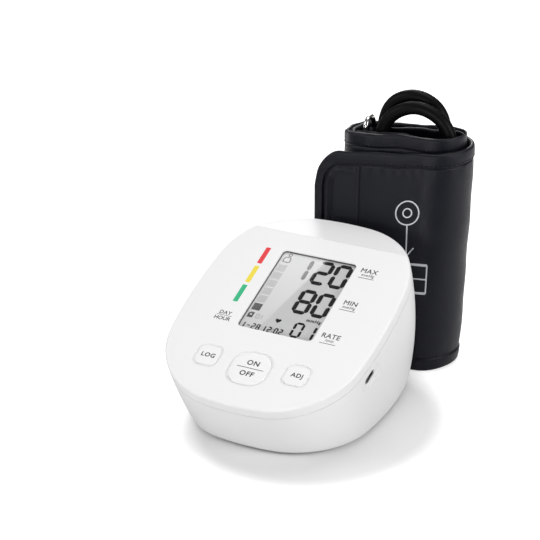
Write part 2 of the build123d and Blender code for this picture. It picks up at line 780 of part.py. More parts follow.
with BuildPart() as battery_door:
    with BuildSketch(floor.offset(base_height)):
        with Locations((0, bay_y)):
            Rectangle(door_width - 2 * door_gap, door_length - 2 * door_gap)
    extrude(amount=door_thickness)
    front_edges = battery_door.edges().filter_by(Axis.X).group_by(Axis.Y)[0]
    fillet(front_edges, door_thickness / 2 - 0.01)
    with BuildSketch(floor.offset(base_height)):
        with Locations((0, latch_y - (latch_gap + door_margin) / 2)):
            Rectangle(tongue_width, latch_depth + door_margin - latch_gap)
    extrude(amount=door_thickness)
    with BuildSketch(floor.offset(base_height)):
        with Locations((0, latch_y)):
            Rectangle(tongue_width, tongue_thickness)
    extrude(amount=door_thickness + tongue_height)
    with BuildSketch(Plane.YZ):
        with Locations((monitor_y + door_axis_y, door_axis_z)):
            Circle(door_pin_radius)
    extrude(amount=door_width / 2 + door_pin_length - 2 * door_pin_clearance, both=True)
    # grip ribs on the outside, sunk so that they clear the surface
    with BuildSketch(floor.offset(base_height)):
        with Locations((0, bay_y + door_length / 2 - door_margin)):
            with GridLocations(0, grip_rib_pitch, 1, grip_rib_count):
                SlotOverall(tongue_width, grip_rib_width)
    extrude(amount=grip_rib_depth, mode=Mode.SUBTRACT)
save(battery_door.part, "battery_door")

# ---------------------------------------------------------------- pump, valve and air line
with BuildPart() as pump_head:
    with BuildSketch(Plane.YZ.offset(pump_head_left)):
        with Locations((monitor_y + air_y, air_z)):
            RectangleRounded(pump_head_size, pump_head_size, pump_head_corner)
    extrude(amount=pump_head_length)
    with BuildSketch(Plane.YZ.offset(pump_head_left)):
        with Locations((monitor_y + air_y, air_z)):
            Circle(nipple_radius)
    extrude(amount=-pump_nipple)
    with BuildSketch(Plane.YZ.offset(pump_head_left - pump_nipple)):
        with Locations((monitor_y + air_y, air_z)):
            Circle(nipple_bore)
    extrude(amount=pump_head_length / 2, mode=Mode.SUBTRACT)
    with BuildSketch(Plane.YZ.offset(pump_head_right)):
        with Locations((monitor_y + air_y, air_z)):
            with GridLocations(0, 2 * lug_offset, 1, 2):
                Rectangle(lug_width, lug_thickness)
    extrude(amount=shaft_gap)
    with BuildSketch(Plane.YZ.offset(pump_head_right)):
        with Locations((monitor_y + air_y, air_z)):
            Circle(shaft_radius + shaft_clearance)
    extrude(amount=-shaft_seat - 0.2, mode=Mode.SUBTRACT)
save(pump_head.part, "pump_head")

with BuildPart() as pump_motor:
    with BuildSketch(Plane.YZ.offset(motor_left)):
        with Locations((monitor_y + air_y, air_z)):
            Circle(motor_radius)
            Rectangle(2 * motor_radius, 2 * motor_flat, mode=Mode.INTERSECT)
    extrude(amount=motor_length)
    with BuildSketch(Plane.YZ.offset(motor_left)):
        with Locations((monitor_y + air_y, air_z)):
            Circle(shaft_radius + shaft_clearance)
    extrude(amount=shaft_seat + 0.2, mode=Mode.SUBTRACT)
save(pump_motor.part, "pump_motor")

with BuildPart() as pump_shaft:
    with BuildSketch(Plane.YZ.offset(pump_head_right - shaft_seat)):
        with Locations((monitor_y + air_y, air_z)):
            Circle(shaft_radius)
    extrude(amount=shaft_gap + 2 * shaft_seat)
    with BuildSketch(Plane.YZ.offset(pump_head_right + (shaft_gap - crank_thickness) / 2)):
        with Locations((monitor_y + air_y + shaft_radius, air_z)):
            Circle(crank_radius)
    extrude(amount=crank_thickness)
save(pump_shaft.part, "pump_shaft")

with BuildPart() as pump_saddle:
    saddle_left = pump_head_left + saddle_inset
    with BuildSketch(floor.offset(bay_top)):
        with Locations((saddle_left + saddle_length / 2, air_y)):
            RectangleRounded(saddle_length, saddle_width, saddle_corner)
    extrude(amount=saddle_top - bay_top)
    with BuildSketch(Plane.YZ.offset(saddle_left)):
        with Locations((monitor_y + air_y, air_z)):
            RectangleRounded(
                pump_head_size + 2 * saddle_gap, pump_head_size + 2 * saddle_gap, pump_head_corner
            )
    extrude(amount=motor_left - saddle_left, mode=Mode.SUBTRACT)
    with BuildSketch(Plane.YZ.offset(saddle_left)):
        with Locations((monitor_y + air_y, air_z)):
            Circle(motor_radius + saddle_gap)
            Rectangle(2 * (motor_radius + saddle_gap), 2 * (motor_flat + saddle_gap), mode=Mode.INTERSECT)
    extrude(amount=saddle_length, mode=Mode.SUBTRACT)
save(pump_saddle.part, "pump_saddle")

with BuildPart() as air_socket:
    with BuildSketch(Plane.YZ.offset(-socket_mouth)):
        with Locations((monitor_y + air_y, air_z)):
            Circle(socket_flange_radius)
    extrude(amount=socket_flange)
    with BuildSketch(Plane.YZ.offset(-socket_mouth)):
        with Locations((monitor_y + air_y, air_z)):
            Circle(socket_barrel_radius)
    extrude(amount=socket_length)
    with BuildSketch(Plane.YZ.offset(-socket_inner_end)):
        with Locations((monitor_y + air_y, air_z)):
            Circle(nipple_radius)
    extrude(amount=socket_nipple)
    with BuildSketch(Plane.YZ.offset(-socket_mouth)):
        with Locations((monitor_y + air_y, air_z)):
            Circle(socket_bore_radius)
    extrude(amount=socket_bore_length, mode=Mode.SUBTRACT)
    with BuildSketch(Plane.YZ.offset(-socket_mouth)):
        with Locations((monitor_y + air_y, air_z)):
            Circle(nipple_bore)
    extrude(amount=socket_length + socket_nipple, mode=Mode.SUBTRACT)
save(air_socket.part, "air_socket")

with BuildPart() as release_valve:
    with BuildSketch(floor.offset(bay_top)):
        with Locations((tee_x, valve_y)):
            Circle(valve_radius)
    extrude(amount=valve_length)
    with BuildSketch(Plane.XZ.offset(-(monitor_y + valve_y))):
        with Locations((tee_x, air_z)):
            Circle(nipple_radius)
    extrude(amount=-(valve_radius + socket_nipple))
save(release_valve.part, "release_valve")

with BuildPart() as air_tee:
    with Locations((tee_x, monitor_y + air_y, air_z)):
        Box(tee_size, tee_size, tee_size)
        Cylinder(nipple_radius, tee_size + 2 * tee_arm, rotation=(0, 90, 0))
    with BuildSketch(floor.offset(air_z)):
        with Locations((tee_x, air_y)):
            Circle(nipple_radius)
    extrude(amount=tee_size / 2 + tee_arm)
    with BuildSketch(Plane.XZ.offset(-(monitor_y + air_y))):
        with Locations((tee_x, air_z)):
            Circle(nipple_radius)
    extrude(amount=tee_size / 2 + tee_arm)
save(air_tee.part, "air_tee")

tee_face = tee_size / 2 + nipple_reach
straight_tubes = (
    ((-socket_inner_end + nipple_reach, air_y, air_z), (tee_x - tee_face, air_y, air_z)),
    ((tee_x + tee_face, air_y, air_z), (pump_head_left - nipple_reach, air_y, air_z)),
    ((tee_x, air_y - tee_face, air_z), (tee_x, valve_y + valve_radius + nipple_reach, air_z)),
)
with BuildPart() as air_tubes:
    for start, end in straight_tubes:
        with BuildLine(floor) as run:
            Line(start, end)
        with BuildSketch(Plane(origin=run.line @ 0, z_dir=run.line % 0)):
            Circle(tube_outer_radius)
            Circle(tube_inner_radius, mode=Mode.SUBTRACT)
        sweep(path=run.line)
    sensor_tip = panel.from_local_coords((tee_x, sensor_along, -board_back_depth - sensor_height - nipple_reach))
    with BuildLine() as sensor_run:
        FilletPolyline(
            (tee_x, monitor_y + air_y, air_z + tee_face),
            (tee_x, monitor_y + air_y, sensor_bend_z),
            sensor_tip,
            radius=sensor_bend_radius,
        )
    with BuildSketch(Plane(origin=sensor_run.line @ 0, z_dir=sensor_run.line % 0)):
        Circle(tube_outer_radius)
        Circle(tube_inner_radius, mode=Mode.SUBTRACT)
    sweep(path=sensor_run.line)
save(air_tubes.part, "air_tubes")

# ---------------------------------------------------------------- cuff
with BuildPart() as cuff_inner_roll:
    with BuildSketch(cuff):
        SlotCenterToCenter(2 * roll_half_straight, 2 * roll_radius)
        with Locations((hollow_shift, 0)):
            SlotCenterToCenter(2 * hollow_half_straight, 2 * hollow_radius, mode=Mode.SUBTRACT)
    extrude(amount=roll_height)
    # the sewn pocket that holds the bladder
    with BuildSketch(cuff.offset(bladder_bottom - pocket_gap)):
        SlotCenterToCenter(2 * roll_half_straight, 2 * (bladder_radius + pocket_gap))
        SlotCenterToCenter(2 * roll_half_straight, 2 * (bladder_inner - pocket_gap), mode=Mode.SUBTRACT)
        with Locations((bladder_right + pocket_gap, 0)):
            Rectangle(2 * panel_half_rear, 2 * panel_half_rear, align=(Align.MIN, Align.CENTER), mode=Mode.SUBTRACT)
    extrude(amount=bladder_height + 2 * pocket_gap, mode=Mode.SUBTRACT)
    # the hole in the lining that the air port passes through
    with BuildSketch(cuff.offset(port_foot + port_flange_height / 2)):
        with Locations((port_u, (hollow_radius + bladder_inner) / 2)):
            Rectangle(2 * (port_stem_radius + pocket_gap), bladder_inner - hollow_radius + 2 * cut_spare)
    extrude(amount=port_stem_radius + pocket_gap, both=True, mode=Mode.SUBTRACT)
save(cuff_inner_roll.part, "cuff_inner_roll")

with BuildPart() as cuff_bladder:
    with BuildSketch(cuff.offset(bladder_bottom)):
        SlotCenterToCenter(2 * roll_half_straight, 2 * bladder_radius)
        SlotCenterToCenter(2 * roll_half_straight, 2 * bladder_inner, mode=Mode.SUBTRACT)
        with Locations((bladder_right, 0)):
            Rectangle(2 * panel_half_rear, 2 * panel_half_rear, align=(Align.MIN, Align.CENTER), mode=Mode.SUBTRACT)
    extrude(amount=bladder_height)
save(cuff_bladder.part, "cuff_bladder")

cuff_front = Plane(origin=cuff.origin, x_dir=cuff.x_dir, z_dir=-cuff.y_dir)
with BuildPart() as cuff_outer_wrap:
    with BuildSketch(cuff):
        with BuildLine():
            front = Line((wrap_free_end, -wrap_middle), (roll_half_straight, -wrap_middle))
            turn = CenterArc((roll_half_straight, 0), wrap_middle, -90, 180)
            Line(turn @ 1, (wrap_rear_end, wrap_middle))
        trace(line_width=wrap_thickness)
    extrude(amount=wrap_height)
    with BuildSketch(cuff_front) as flap_outline:
        with Locations((wrap_free_end, 0)):
            Rectangle(4 * roll_half_straight + 4 * roll_radius, wrap_height, align=Align.MIN)
        fillet(flap_outline.vertices().group_by(Axis.X)[0], wrap_corner)
    extrude(amount=2 * wrap_middle, both=True, mode=Mode.INTERSECT)
save(cuff_outer_wrap.part, "cuff_outer_wrap")

with BuildPart() as hook_patch:
    patch_front = roll_radius + (wrap_gap + patch_thickness) / 2
    with BuildSketch(cuff_front.offset(patch_front)):
        with Locations((patch_left, (wrap_height - patch_height) / 2)):
            Rectangle(patch_length, patch_height, align=Align.MIN)
    extrude(amount=-patch_thickness)
save(hook_patch.part, "hook_patch")

ring_plane = Plane(origin=cuff.from_local_coords((ring_u, 0, 0)), x_dir=cuff.y_dir, z_dir=cuff.x_dir)
with BuildPart() as metal_ring:
    with BuildLine(ring_plane) as ring_path:
        ring_top = ring_foot + ring_height
        FilletPolyline(
            (-ring_half_width, ring_foot),
            (ring_half_width, ring_foot),
            (ring_half_width, ring_top),
            (-ring_half_width, ring_top),
            radius=ring_corner,
            close=True,
        )
    with BuildSketch(Plane(origin=ring_path.line @ 0.5, z_dir=ring_path.line % 0.5)):
        Circle(ring_wire_radius)
    sweep(path=ring_path.line)
save(metal_ring.part, "metal_ring")

with BuildPart() as ring_loop:
    with BuildSketch(cuff.offset(loop_foot)):
        with Locations((ring_u, ring_half_width)):
            Circle(ring_wire_radius + loop_gap + loop_wall)
            Circle(ring_wire_radius + loop_gap, mode=Mode.SUBTRACT)
    extrude(amount=loop_length)
save(ring_loop.part, "ring_loop")

with BuildPart() as hose_port:
    with BuildSketch(cuff.offset(port_foot)):
        with Locations((port_u, port_v)):
            Circle(port_radius)
    extrude(amount=port_top - port_foot)
    with BuildSketch(cuff.offset(port_foot)):
        with Locations((port_u, hollow_radius - pocket_gap - port_flange_thickness / 2)):
            Rectangle(port_flange_width, port_flange_thickness)
    extrude(amount=port_flange_height)
    port_plane = Plane(origin=cuff.from_local_coords((port_u, 0, 0)), x_dir=cuff.x_dir, z_dir=-cuff.y_dir)
    with BuildSketch(port_plane.offset(-hollow_radius + 2 * port_flange_thickness)):
        with Locations((0, port_foot + port_flange_height / 2)):
            Circle(port_stem_radius)
    extrude(amount=-(bladder_inner - hollow_radius + 2 * port_flange_thickness - pocket_gap))
save(hose_port.part, "hose_port")

# the hose, in the cuff's own terms: up out of the port, over, down, round at the bottom, up, over, down to the plug
hose_route = (
    (port_u, port_v, port_top),
    (port_u, port_v, 50.0),
    (-13.8, 4.4, 83.0),
    (-14.6, 4.3, 116.0),
    (-14.8, 4.3, 146.2),
    (3.7, 4.3, 156.4),
    (22.2, 4.3, 146.0),
    (21.6, 4.4, 114.0),
    (20.6, 4.4, 82.0),
    (19.9, 4.3, 50.0),
    (19.5, 4.2, 19.0),
    (3.2, 0.0, 8.6),
    (-13.0, -4.3, 19.0),
    (-13.8, -4.4, 49.0),
    (-14.2, -4.4, 80.0),
    (-13.9, -4.3, 111.0),
    (-13.0, -4.2, 141.0),
    (7.9, -3.7, 152.9),
    (28.6, -3.1, 140.8),
    (27.8, -3.1, 113.0),
    (plug_u, plug_v, 93.0),
    (plug_u, plug_v, plug_top),
)
hose_points = [cuff.from_local_coords(point) for point in hose_route]
hose_radii = []
for before, here, after in zip(hose_points, hose_points[1:], hose_points[2:]):
    half_turn = radians((here - before).get_angle(after - here) / 2)
    shorter_run = min((here - before).length, (after - here).length)
    hose_radii.append(0.45 * shorter_run / tan(half_turn))
with BuildPart() as air_hose:
    with BuildLine() as hose_path:
        FilletPolyline(*hose_points, radius=hose_radii)
    with BuildSketch(Plane(origin=hose_path.line @ 0, z_dir=hose_path.line % 0)):
        Circle(hose_radius)
    sweep(path=hose_path.line)
save(air_hose.part, "air_hose")
print("hose radii", [round(radius, 1) for radius in hose_radii])
print("hose length", round(hose_path.wire().length, 1), "against", round(air_hose.part.volume / (pi * hose_radius**2), 1))

with BuildPart() as air_plug:
    with BuildSketch(cuff.offset(plug_top)):
        with Locations((plug_u, plug_v)):
            Circle(hose_radius)
    with BuildSketch(cuff.offset(plug_top - plug_grip_length)):
        with Locations((plug_u, plug_v)):
            Circle(plug_grip_radius)
    loft()
    with BuildSketch(cuff.offset(plug_top - plug_grip_length)):
        with Locations((plug_u, plug_v)):
            Circle(plug_pin_radius)
    extrude(amount=-plug_pin_length)
save(air_plug.part, "air_plug")
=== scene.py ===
"""Dresses an upper-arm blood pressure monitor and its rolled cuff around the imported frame."""

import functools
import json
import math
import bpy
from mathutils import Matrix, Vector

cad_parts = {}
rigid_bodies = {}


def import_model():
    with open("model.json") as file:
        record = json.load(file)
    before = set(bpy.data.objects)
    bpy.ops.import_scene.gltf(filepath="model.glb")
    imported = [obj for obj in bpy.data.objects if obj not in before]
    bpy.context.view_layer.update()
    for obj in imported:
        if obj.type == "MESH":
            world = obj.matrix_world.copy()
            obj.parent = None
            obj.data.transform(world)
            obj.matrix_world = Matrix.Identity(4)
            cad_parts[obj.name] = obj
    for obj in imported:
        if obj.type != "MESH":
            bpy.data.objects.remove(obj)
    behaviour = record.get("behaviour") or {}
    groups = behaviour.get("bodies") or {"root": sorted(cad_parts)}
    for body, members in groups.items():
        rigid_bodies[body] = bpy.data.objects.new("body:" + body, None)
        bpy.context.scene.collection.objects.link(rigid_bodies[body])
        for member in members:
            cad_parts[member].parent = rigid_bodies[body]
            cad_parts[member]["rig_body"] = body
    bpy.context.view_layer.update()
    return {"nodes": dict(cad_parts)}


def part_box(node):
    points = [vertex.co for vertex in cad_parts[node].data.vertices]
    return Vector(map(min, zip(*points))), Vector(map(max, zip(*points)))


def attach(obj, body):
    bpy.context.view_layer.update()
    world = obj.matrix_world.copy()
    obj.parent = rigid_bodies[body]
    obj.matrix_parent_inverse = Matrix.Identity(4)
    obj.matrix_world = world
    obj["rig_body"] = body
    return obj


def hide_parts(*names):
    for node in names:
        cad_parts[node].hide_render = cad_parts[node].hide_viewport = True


bl_info = {
    "name": "Blood pressure monitor and cuff",
    "version": (1, 0, 0),
    "blender": (4, 5, 0),
    "location": "3D View > Sidebar > Monitor",
    "description": "Makes the mouldings' finish, the printed marks, the cuff's cloth and the air hose",
    "category": "Object",
}

import bmesh
import bpy
import numpy as np
from mathutils import Matrix, Vector

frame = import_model()

MM = 0.001

# The slope of the panel and the place of its middle in mm.
PANEL_TILT = math.radians(24.67)
PANEL_Y = -31.0
PANEL_Z = 60.8

# The place of the rolled cuff's middle in mm, and its turn about the vertical.
CUFF_X = 20.2
CUFF_Y = 70.5
CUFF_TURN = math.radians(4.0)


# ---------------------------------------------------------------- settings that a user would change
class MonitorColours(bpy.types.PropertyGroup):
    """Colours and finish of the monitor's mouldings and prints."""

    shell: bpy.props.FloatVectorProperty(
        name="Shell", description="Colour of the white mouldings", subtype="COLOR", size=4,
        default=(0.862, 0.858, 0.862, 1.0), min=0, max=1)
    button: bpy.props.FloatVectorProperty(
        name="Button", description="Colour of the button caps", subtype="COLOR", size=4,
        default=(0.872, 0.868, 0.872, 1.0), min=0, max=1)
    shell_roughness: bpy.props.FloatProperty(
        name="Shell roughness", description="How matt the white mouldings are", default=0.38, min=0, max=1)
    grain: bpy.props.FloatProperty(
        name="Grain", description="Height of the mould's fine spark grain", default=0.00002, unit="LENGTH")
    print_ink: bpy.props.FloatVectorProperty(
        name="Print ink", description="Colour of the printed labels", subtype="COLOR", size=4,
        default=(0.03, 0.031, 0.034, 1.0), min=0, max=1)
    bar_high: bpy.props.FloatVectorProperty(
        name="High bar", description="Colour of the scale's top bar", subtype="COLOR", size=4,
        default=(0.78, 0.035, 0.045, 1.0), min=0, max=1)
    bar_middle: bpy.props.FloatVectorProperty(
        name="Middle bar", description="Colour of the scale's middle bar", subtype="COLOR", size=4,
        default=(0.86, 0.70, 0.055, 1.0), min=0, max=1)
    bar_low: bpy.props.FloatVectorProperty(
        name="Low bar", description="Colour of the scale's bottom bar", subtype="COLOR", size=4,
        default=(0.025, 0.47, 0.22, 1.0), min=0, max=1)
    print_height: bpy.props.FloatProperty(
        name="Print height", description="How far a print stands above its surface",
        default=0.00003, unit="LENGTH")


class DisplayContents(bpy.types.PropertyGroup):
    """What the display shows."""

    upper: bpy.props.StringProperty(
        name="Upper value", description="Figures of the top row", default="120")
    lower: bpy.props.StringProperty(
        name="Lower value", description="Figures of the middle row", default="80")
    rate: bpy.props.StringProperty(
        name="Rate", description="Figures of the bottom row", default="01")
    clock: bpy.props.StringProperty(
        name="Clock", description="Date and time in the last row", default="1-28 12:02")


class CuffCloth(bpy.types.PropertyGroup):
    """Sizes and colours of the rolled cuff."""

    cloth: bpy.props.FloatVectorProperty(
        name="Cloth", description="Colour of the coated nylon", subtype="COLOR", size=4,
        default=(0.0030, 0.0040, 0.0086, 1.0), min=0, max=1)
    thread: bpy.props.FloatVectorProperty(
        name="Thread", description="Colour of the sewing thread", subtype="COLOR", size=4,
        default=(0.004, 0.0045, 0.006, 1.0), min=0, max=1)
    hem: bpy.props.FloatProperty(
        name="Hem", description="Width of the sewn hem", default=0.0078, unit="LENGTH")
    stitch: bpy.props.FloatProperty(
        name="Stitch", description="Length of one stitch", default=0.0017, unit="LENGTH")
    stitch_pitch: bpy.props.FloatProperty(
        name="Stitch pitch", description="From one stitch to the next", default=0.0024, unit="LENGTH")
    weave: bpy.props.FloatProperty(
        name="Weave", description="Distance between the cloth's threads", default=0.00042, unit="LENGTH")
    hose_diameter: bpy.props.FloatProperty(
        name="Hose diameter", description="Outer diameter of the air hose", default=0.0074, unit="LENGTH")


# ---------------------------------------------------------------- places
def on_panel(places):
    """Panel places in mm (right, up the slope, out of the panel), turned by the slope and moved to the panel's
    middle."""
    places = np.asarray(places, float)
    right, up, out = places[..., 0], places[..., 1], places[..., 2]
    y = PANEL_Y + up * math.cos(PANEL_TILT) - out * math.sin(PANEL_TILT)
    z = PANEL_Z + up * math.sin(PANEL_TILT) + out * math.cos(PANEL_TILT)
    return np.stack([right, y, z], -1) * MM


def on_cuff(places):
    """Cuff places in mm (along the roll's long side, towards its back, up), turned and moved to the roll's
    middle."""
    places = np.asarray(places, float)
    u, v, z = places[..., 0], places[..., 1], places[..., 2]
    x = CUFF_X + u * math.cos(CUFF_TURN) - v * math.sin(CUFF_TURN)
    y = CUFF_Y + u * math.sin(CUFF_TURN) + v * math.cos(CUFF_TURN)
    return np.stack([x, y, z], -1) * MM


# ---------------------------------------------------------------- meshes
def grid_faces(rows, columns, closed_rows=False, closed_columns=False):
    """The four-sided faces of a grid of points, joined round where it is closed."""
    i = np.arange(rows if closed_rows else rows - 1)
    j = np.arange(columns if closed_columns else columns - 1)
    a, b = (m.ravel() for m in np.meshgrid(i, j, indexing="ij"))
    a2, b2 = (a + 1) % rows, (b + 1) % columns
    return np.stack([a * columns + b, a2 * columns + b, a2 * columns + b2, a * columns + b2], -1)


def piece(name, points, faces, body, finish, uv=None, smooth=True):
    """A mesh object at the origin from arrays of points in metres and faces, which rides on a body."""
    mesh = bpy.data.meshes.new(name)
    points = np.asarray(points, float).reshape(-1, 3)
    if isinstance(faces, np.ndarray):
        sides = faces.shape[1]
        mesh.vertices.add(len(points))
        mesh.vertices.foreach_set("co", points.ravel())
        mesh.loops.add(faces.size)
        mesh.loops.foreach_set("vertex_index", faces.ravel().astype(np.int32))
        mesh.polygons.add(len(faces))
        mesh.polygons.foreach_set("loop_start", np.arange(0, faces.size, sides, dtype=np.int32))
        mesh.polygons.foreach_set("loop_total", np.full(len(faces), sides, dtype=np.int32))
        mesh.update(calc_edges=True)
    else:
        mesh.from_pydata(points.tolist(), [], faces)
    if uv is not None:
        corners = np.zeros(len(mesh.loops), np.int32)
        mesh.loops.foreach_get("vertex_index", corners)
        layer = mesh.uv_layers.new(name="cloth")
        layer.data.foreach_set("uv", np.asarray(uv, float).reshape(-1, 2)[corners].ravel())
    mesh.polygons.foreach_set("use_smooth", np.full(len(mesh.polygons), smooth))
    mesh.validate()
    mesh.materials.append(finish)
    made = bpy.data.objects.new(name, mesh)
    bpy.context.scene.collection.objects.link(made)
    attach(made, body)
    return made


def weld(made, distance):
    """Merges the points that lie on each other and turns every face outwards."""
    work = bmesh.new()
    work.from_mesh(made.data)
    bmesh.ops.remove_doubles(work, verts=work.verts, dist=distance)
    bmesh.ops.recalc_face_normals(work, faces=work.faces)
    work.to_mesh(made.data)
    work.free()
    made.data.update()


def smooth_copy(node, finish, angle):
    """A welded copy of a CAD node with soft shading across all edges but those sharper than an angle in degrees,
    which stands for the node."""
    source = frame["nodes"][node]
    mesh = source.data.copy()
    work = bmesh.new()
    work.from_mesh(mesh)
    bmesh.ops.remove_doubles(work, verts=work.verts, dist=1e-7)
    work.to_mesh(mesh)
    work.free()
    if "custom_normal" in mesh.attributes:
        mesh.attributes.remove(mesh.attributes["custom_normal"])
    mesh.polygons.foreach_set("use_smooth", np.ones(len(mesh.polygons), bool))
    mesh.set_sharp_from_angle(angle=math.radians(angle))
    mesh.materials.clear()
    mesh.materials.append(finish)
    made = bpy.data.objects.new(node + "_finished", mesh)
    bpy.context.scene.collection.objects.link(made)
    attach(made, source["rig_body"])
    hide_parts(node)


def coat_node(node, finish):
    """Gives a CAD node its finish and leaves its mesh alone."""
    made = frame["nodes"][node]
    made.data.materials.clear()
    made.data.materials.append(finish)


def slabs(outlines, low, high):
    """Closed flat plates from outlines of (right, up), as panel places: a top, a bottom and the sides between."""
    points, faces = [], []
    for outline in outlines:
        outline = np.asarray(outline, float)
        count, first = len(outline), len(points)
        for level in (low, high):
            points += [(x, y, level) for x, y in outline]
        faces.append([first + count + k for k in range(count)])
        faces.append([first + k for k in reversed(range(count))])
        faces += [
            [first + k, first + (k + 1) % count, first + count + (k + 1) % count, first + count + k]
            for k in range(count)
        ]
    return np.array(points), faces


def rounded_plate(middle, width, height, radius, steps=6):
    """Outline of a rounded rectangle: quarter circles at its corners."""
    turns = np.radians(np.linspace(0, 90, steps))
    corner = np.stack([np.cos(turns), np.sin(turns)], -1) * radius
    reach = np.array([width / 2 - radius, height / 2 - radius])
    outline = []
    for quarter in range(4):
        spin = np.array([[0, -1], [1, 0]])
        turned = corner @ np.linalg.matrix_power(spin, quarter).T
        sign = np.array([(1, 1), (-1, 1), (-1, -1), (1, -1)][quarter])
        outline.append(turned + sign * reach)
    return np.concatenate(outline) + np.asarray(middle, float)


def rounded_ring(middle, width, length, corner, inner, outer, high, low, steps=6):
    """A ring along a rounded rectangle as four loops: the inner and outer one at its top, then the outer and inner
    one at its bottom. inner and outer say how far outside the rectangle they lie."""
    loops = []
    for grow, level in ((inner, high), (outer, high), (outer, low), (inner, low)):
        outline = rounded_plate(middle, width + 2 * grow, length + 2 * grow, corner + grow, steps)
        loops.append(np.column_stack([outline, np.full(len(outline), level)]))
    return np.stack(loops)


def band(line, width):
    """Outline of a flat line of even width along points, with its corners mitred."""
    line = np.asarray(line, float)
    along = np.gradient(line, axis=0)
    along /= np.linalg.norm(along, axis=1)[:, None]
    across = np.stack([-along[:, 1], along[:, 0]], -1) * width / 2
    return np.concatenate([line + across, (line - across)[::-1]])


def tube(path, radius, sides):
    """Points of a round tube along a path: circles across its direction, kept from twisting by a fixed
    reference."""
    along = np.gradient(path, axis=0)
    along /= np.linalg.norm(along, axis=1)[:, None]
    reference = np.array([0.31, 0.93, 0.17])
    across = np.cross(along, reference)
    across /= np.linalg.norm(across, axis=1)[:, None]
    over = np.cross(along, across)
    turn = np.linspace(0, 2 * math.pi, sides, endpoint=False)
    ring = across[:, None] * np.cos(turn)[None, :, None] + over[:, None] * np.sin(turn)[None, :, None]
    return path[:, None] + ring * np.asarray(radius, float).reshape(-1, 1, 1)


# ---------------------------------------------------------------- finishes
def group_tree(name, inputs, outputs):
    """An empty shader group with named sockets."""
    tree = bpy.data.node_groups.new(name, "ShaderNodeTree")
    for socket, default in inputs.items():
        made = tree.interface.new_socket(name=socket, in_out="INPUT", socket_type="NodeSocketFloat")
        made.default_value = default
    for socket in outputs:
        tree.interface.new_socket(name=socket, in_out="OUTPUT", socket_type="NodeSocketFloat")
    return tree, tree.nodes.new("NodeGroupInput"), tree.nodes.new("NodeGroupOutput")


def maths(tree, operation, first, second=0.0):
    """One sum of two sockets or numbers."""
    node = tree.nodes.new("ShaderNodeMath")
    node.operation = operation
    for place, value in enumerate((first, second)):
        if isinstance(value, bpy.types.NodeSocket):
            tree.links.new(value, node.inputs[place])
        else:
            node.inputs[place].default_value = value
    return node.outputs[0]


def moulded_grain():
    """Fine even bumps of a spark-eroded mould, and slow changes in gloss."""
    tree, given, result = group_tree("moulded grain", {"Grains per metre": 2600.0}, ("Height", "Gloss"))
    place = tree.nodes.new("ShaderNodeTexCoord")
    fine = tree.nodes.new("ShaderNodeTexNoise")
    fine.inputs["Detail"].default_value = 3.0
    slow = tree.nodes.new("ShaderNodeTexNoise")
    slow.inputs["Scale"].default_value = 28.0
    tree.links.new(place.outputs["Object"], fine.inputs["Vector"])
    tree.links.new(place.outputs["Object"], slow.inputs["Vector"])
    tree.links.new(given.outputs["Grains per metre"], fine.inputs["Scale"])
    tree.links.new(fine.outputs["Fac"], result.inputs["Height"])
    tree.links.new(slow.outputs["Fac"], result.inputs["Gloss"])
    return tree


def woven_cloth():
    """Over-and-under threads from two crossed waves on the cloth's own lengthwise and crosswise map."""
    tree, given, result = group_tree("woven cloth", {"Threads per metre": 2400.0}, ("Height", "Shade"))
    place = tree.nodes.new("ShaderNodeUVMap")
    place.uv_map = "cloth"
    split = tree.nodes.new("ShaderNodeSeparateXYZ")
    tree.links.new(place.outputs["UV"], split.inputs[0])
    turns = maths(tree, "MULTIPLY", given.outputs["Threads per metre"], math.pi)
    warp = maths(tree, "SINE", maths(tree, "MULTIPLY", split.outputs[0], turns))
    weft = maths(tree, "SINE", maths(tree, "MULTIPLY", split.outputs[1], turns))
    crossed = maths(tree, "MULTIPLY", warp, weft)
    raised = maths(tree, "MULTIPLY", maths(tree, "ADD", crossed, 1.0), 0.5)
    slub = tree.nodes.new("ShaderNodeTexNoise")
    slub.inputs["Scale"].default_value = 60.0
    slub.inputs["Detail"].default_value = 4.0
    tree.links.new(place.outputs["UV"], slub.inputs["Vector"])
    tree.links.new(raised, result.inputs["Height"])
    tree.links.new(slub.outputs["Fac"], result.inputs["Shade"])
    return tree


def plain_finish(name, colour, roughness, **sockets):
    """A Principled material with its fixed values set on the shader itself."""
    made = bpy.data.materials.new(name)
    made.use_nodes = True
    shader = made.node_tree.nodes["Principled BSDF"]
    shader.inputs["Base Color"].default_value = colour
    shader.inputs["Roughness"].default_value = roughness
    for socket, value in sockets.items():
        shader.inputs[socket.replace("_", " ")].default_value = value
    return made


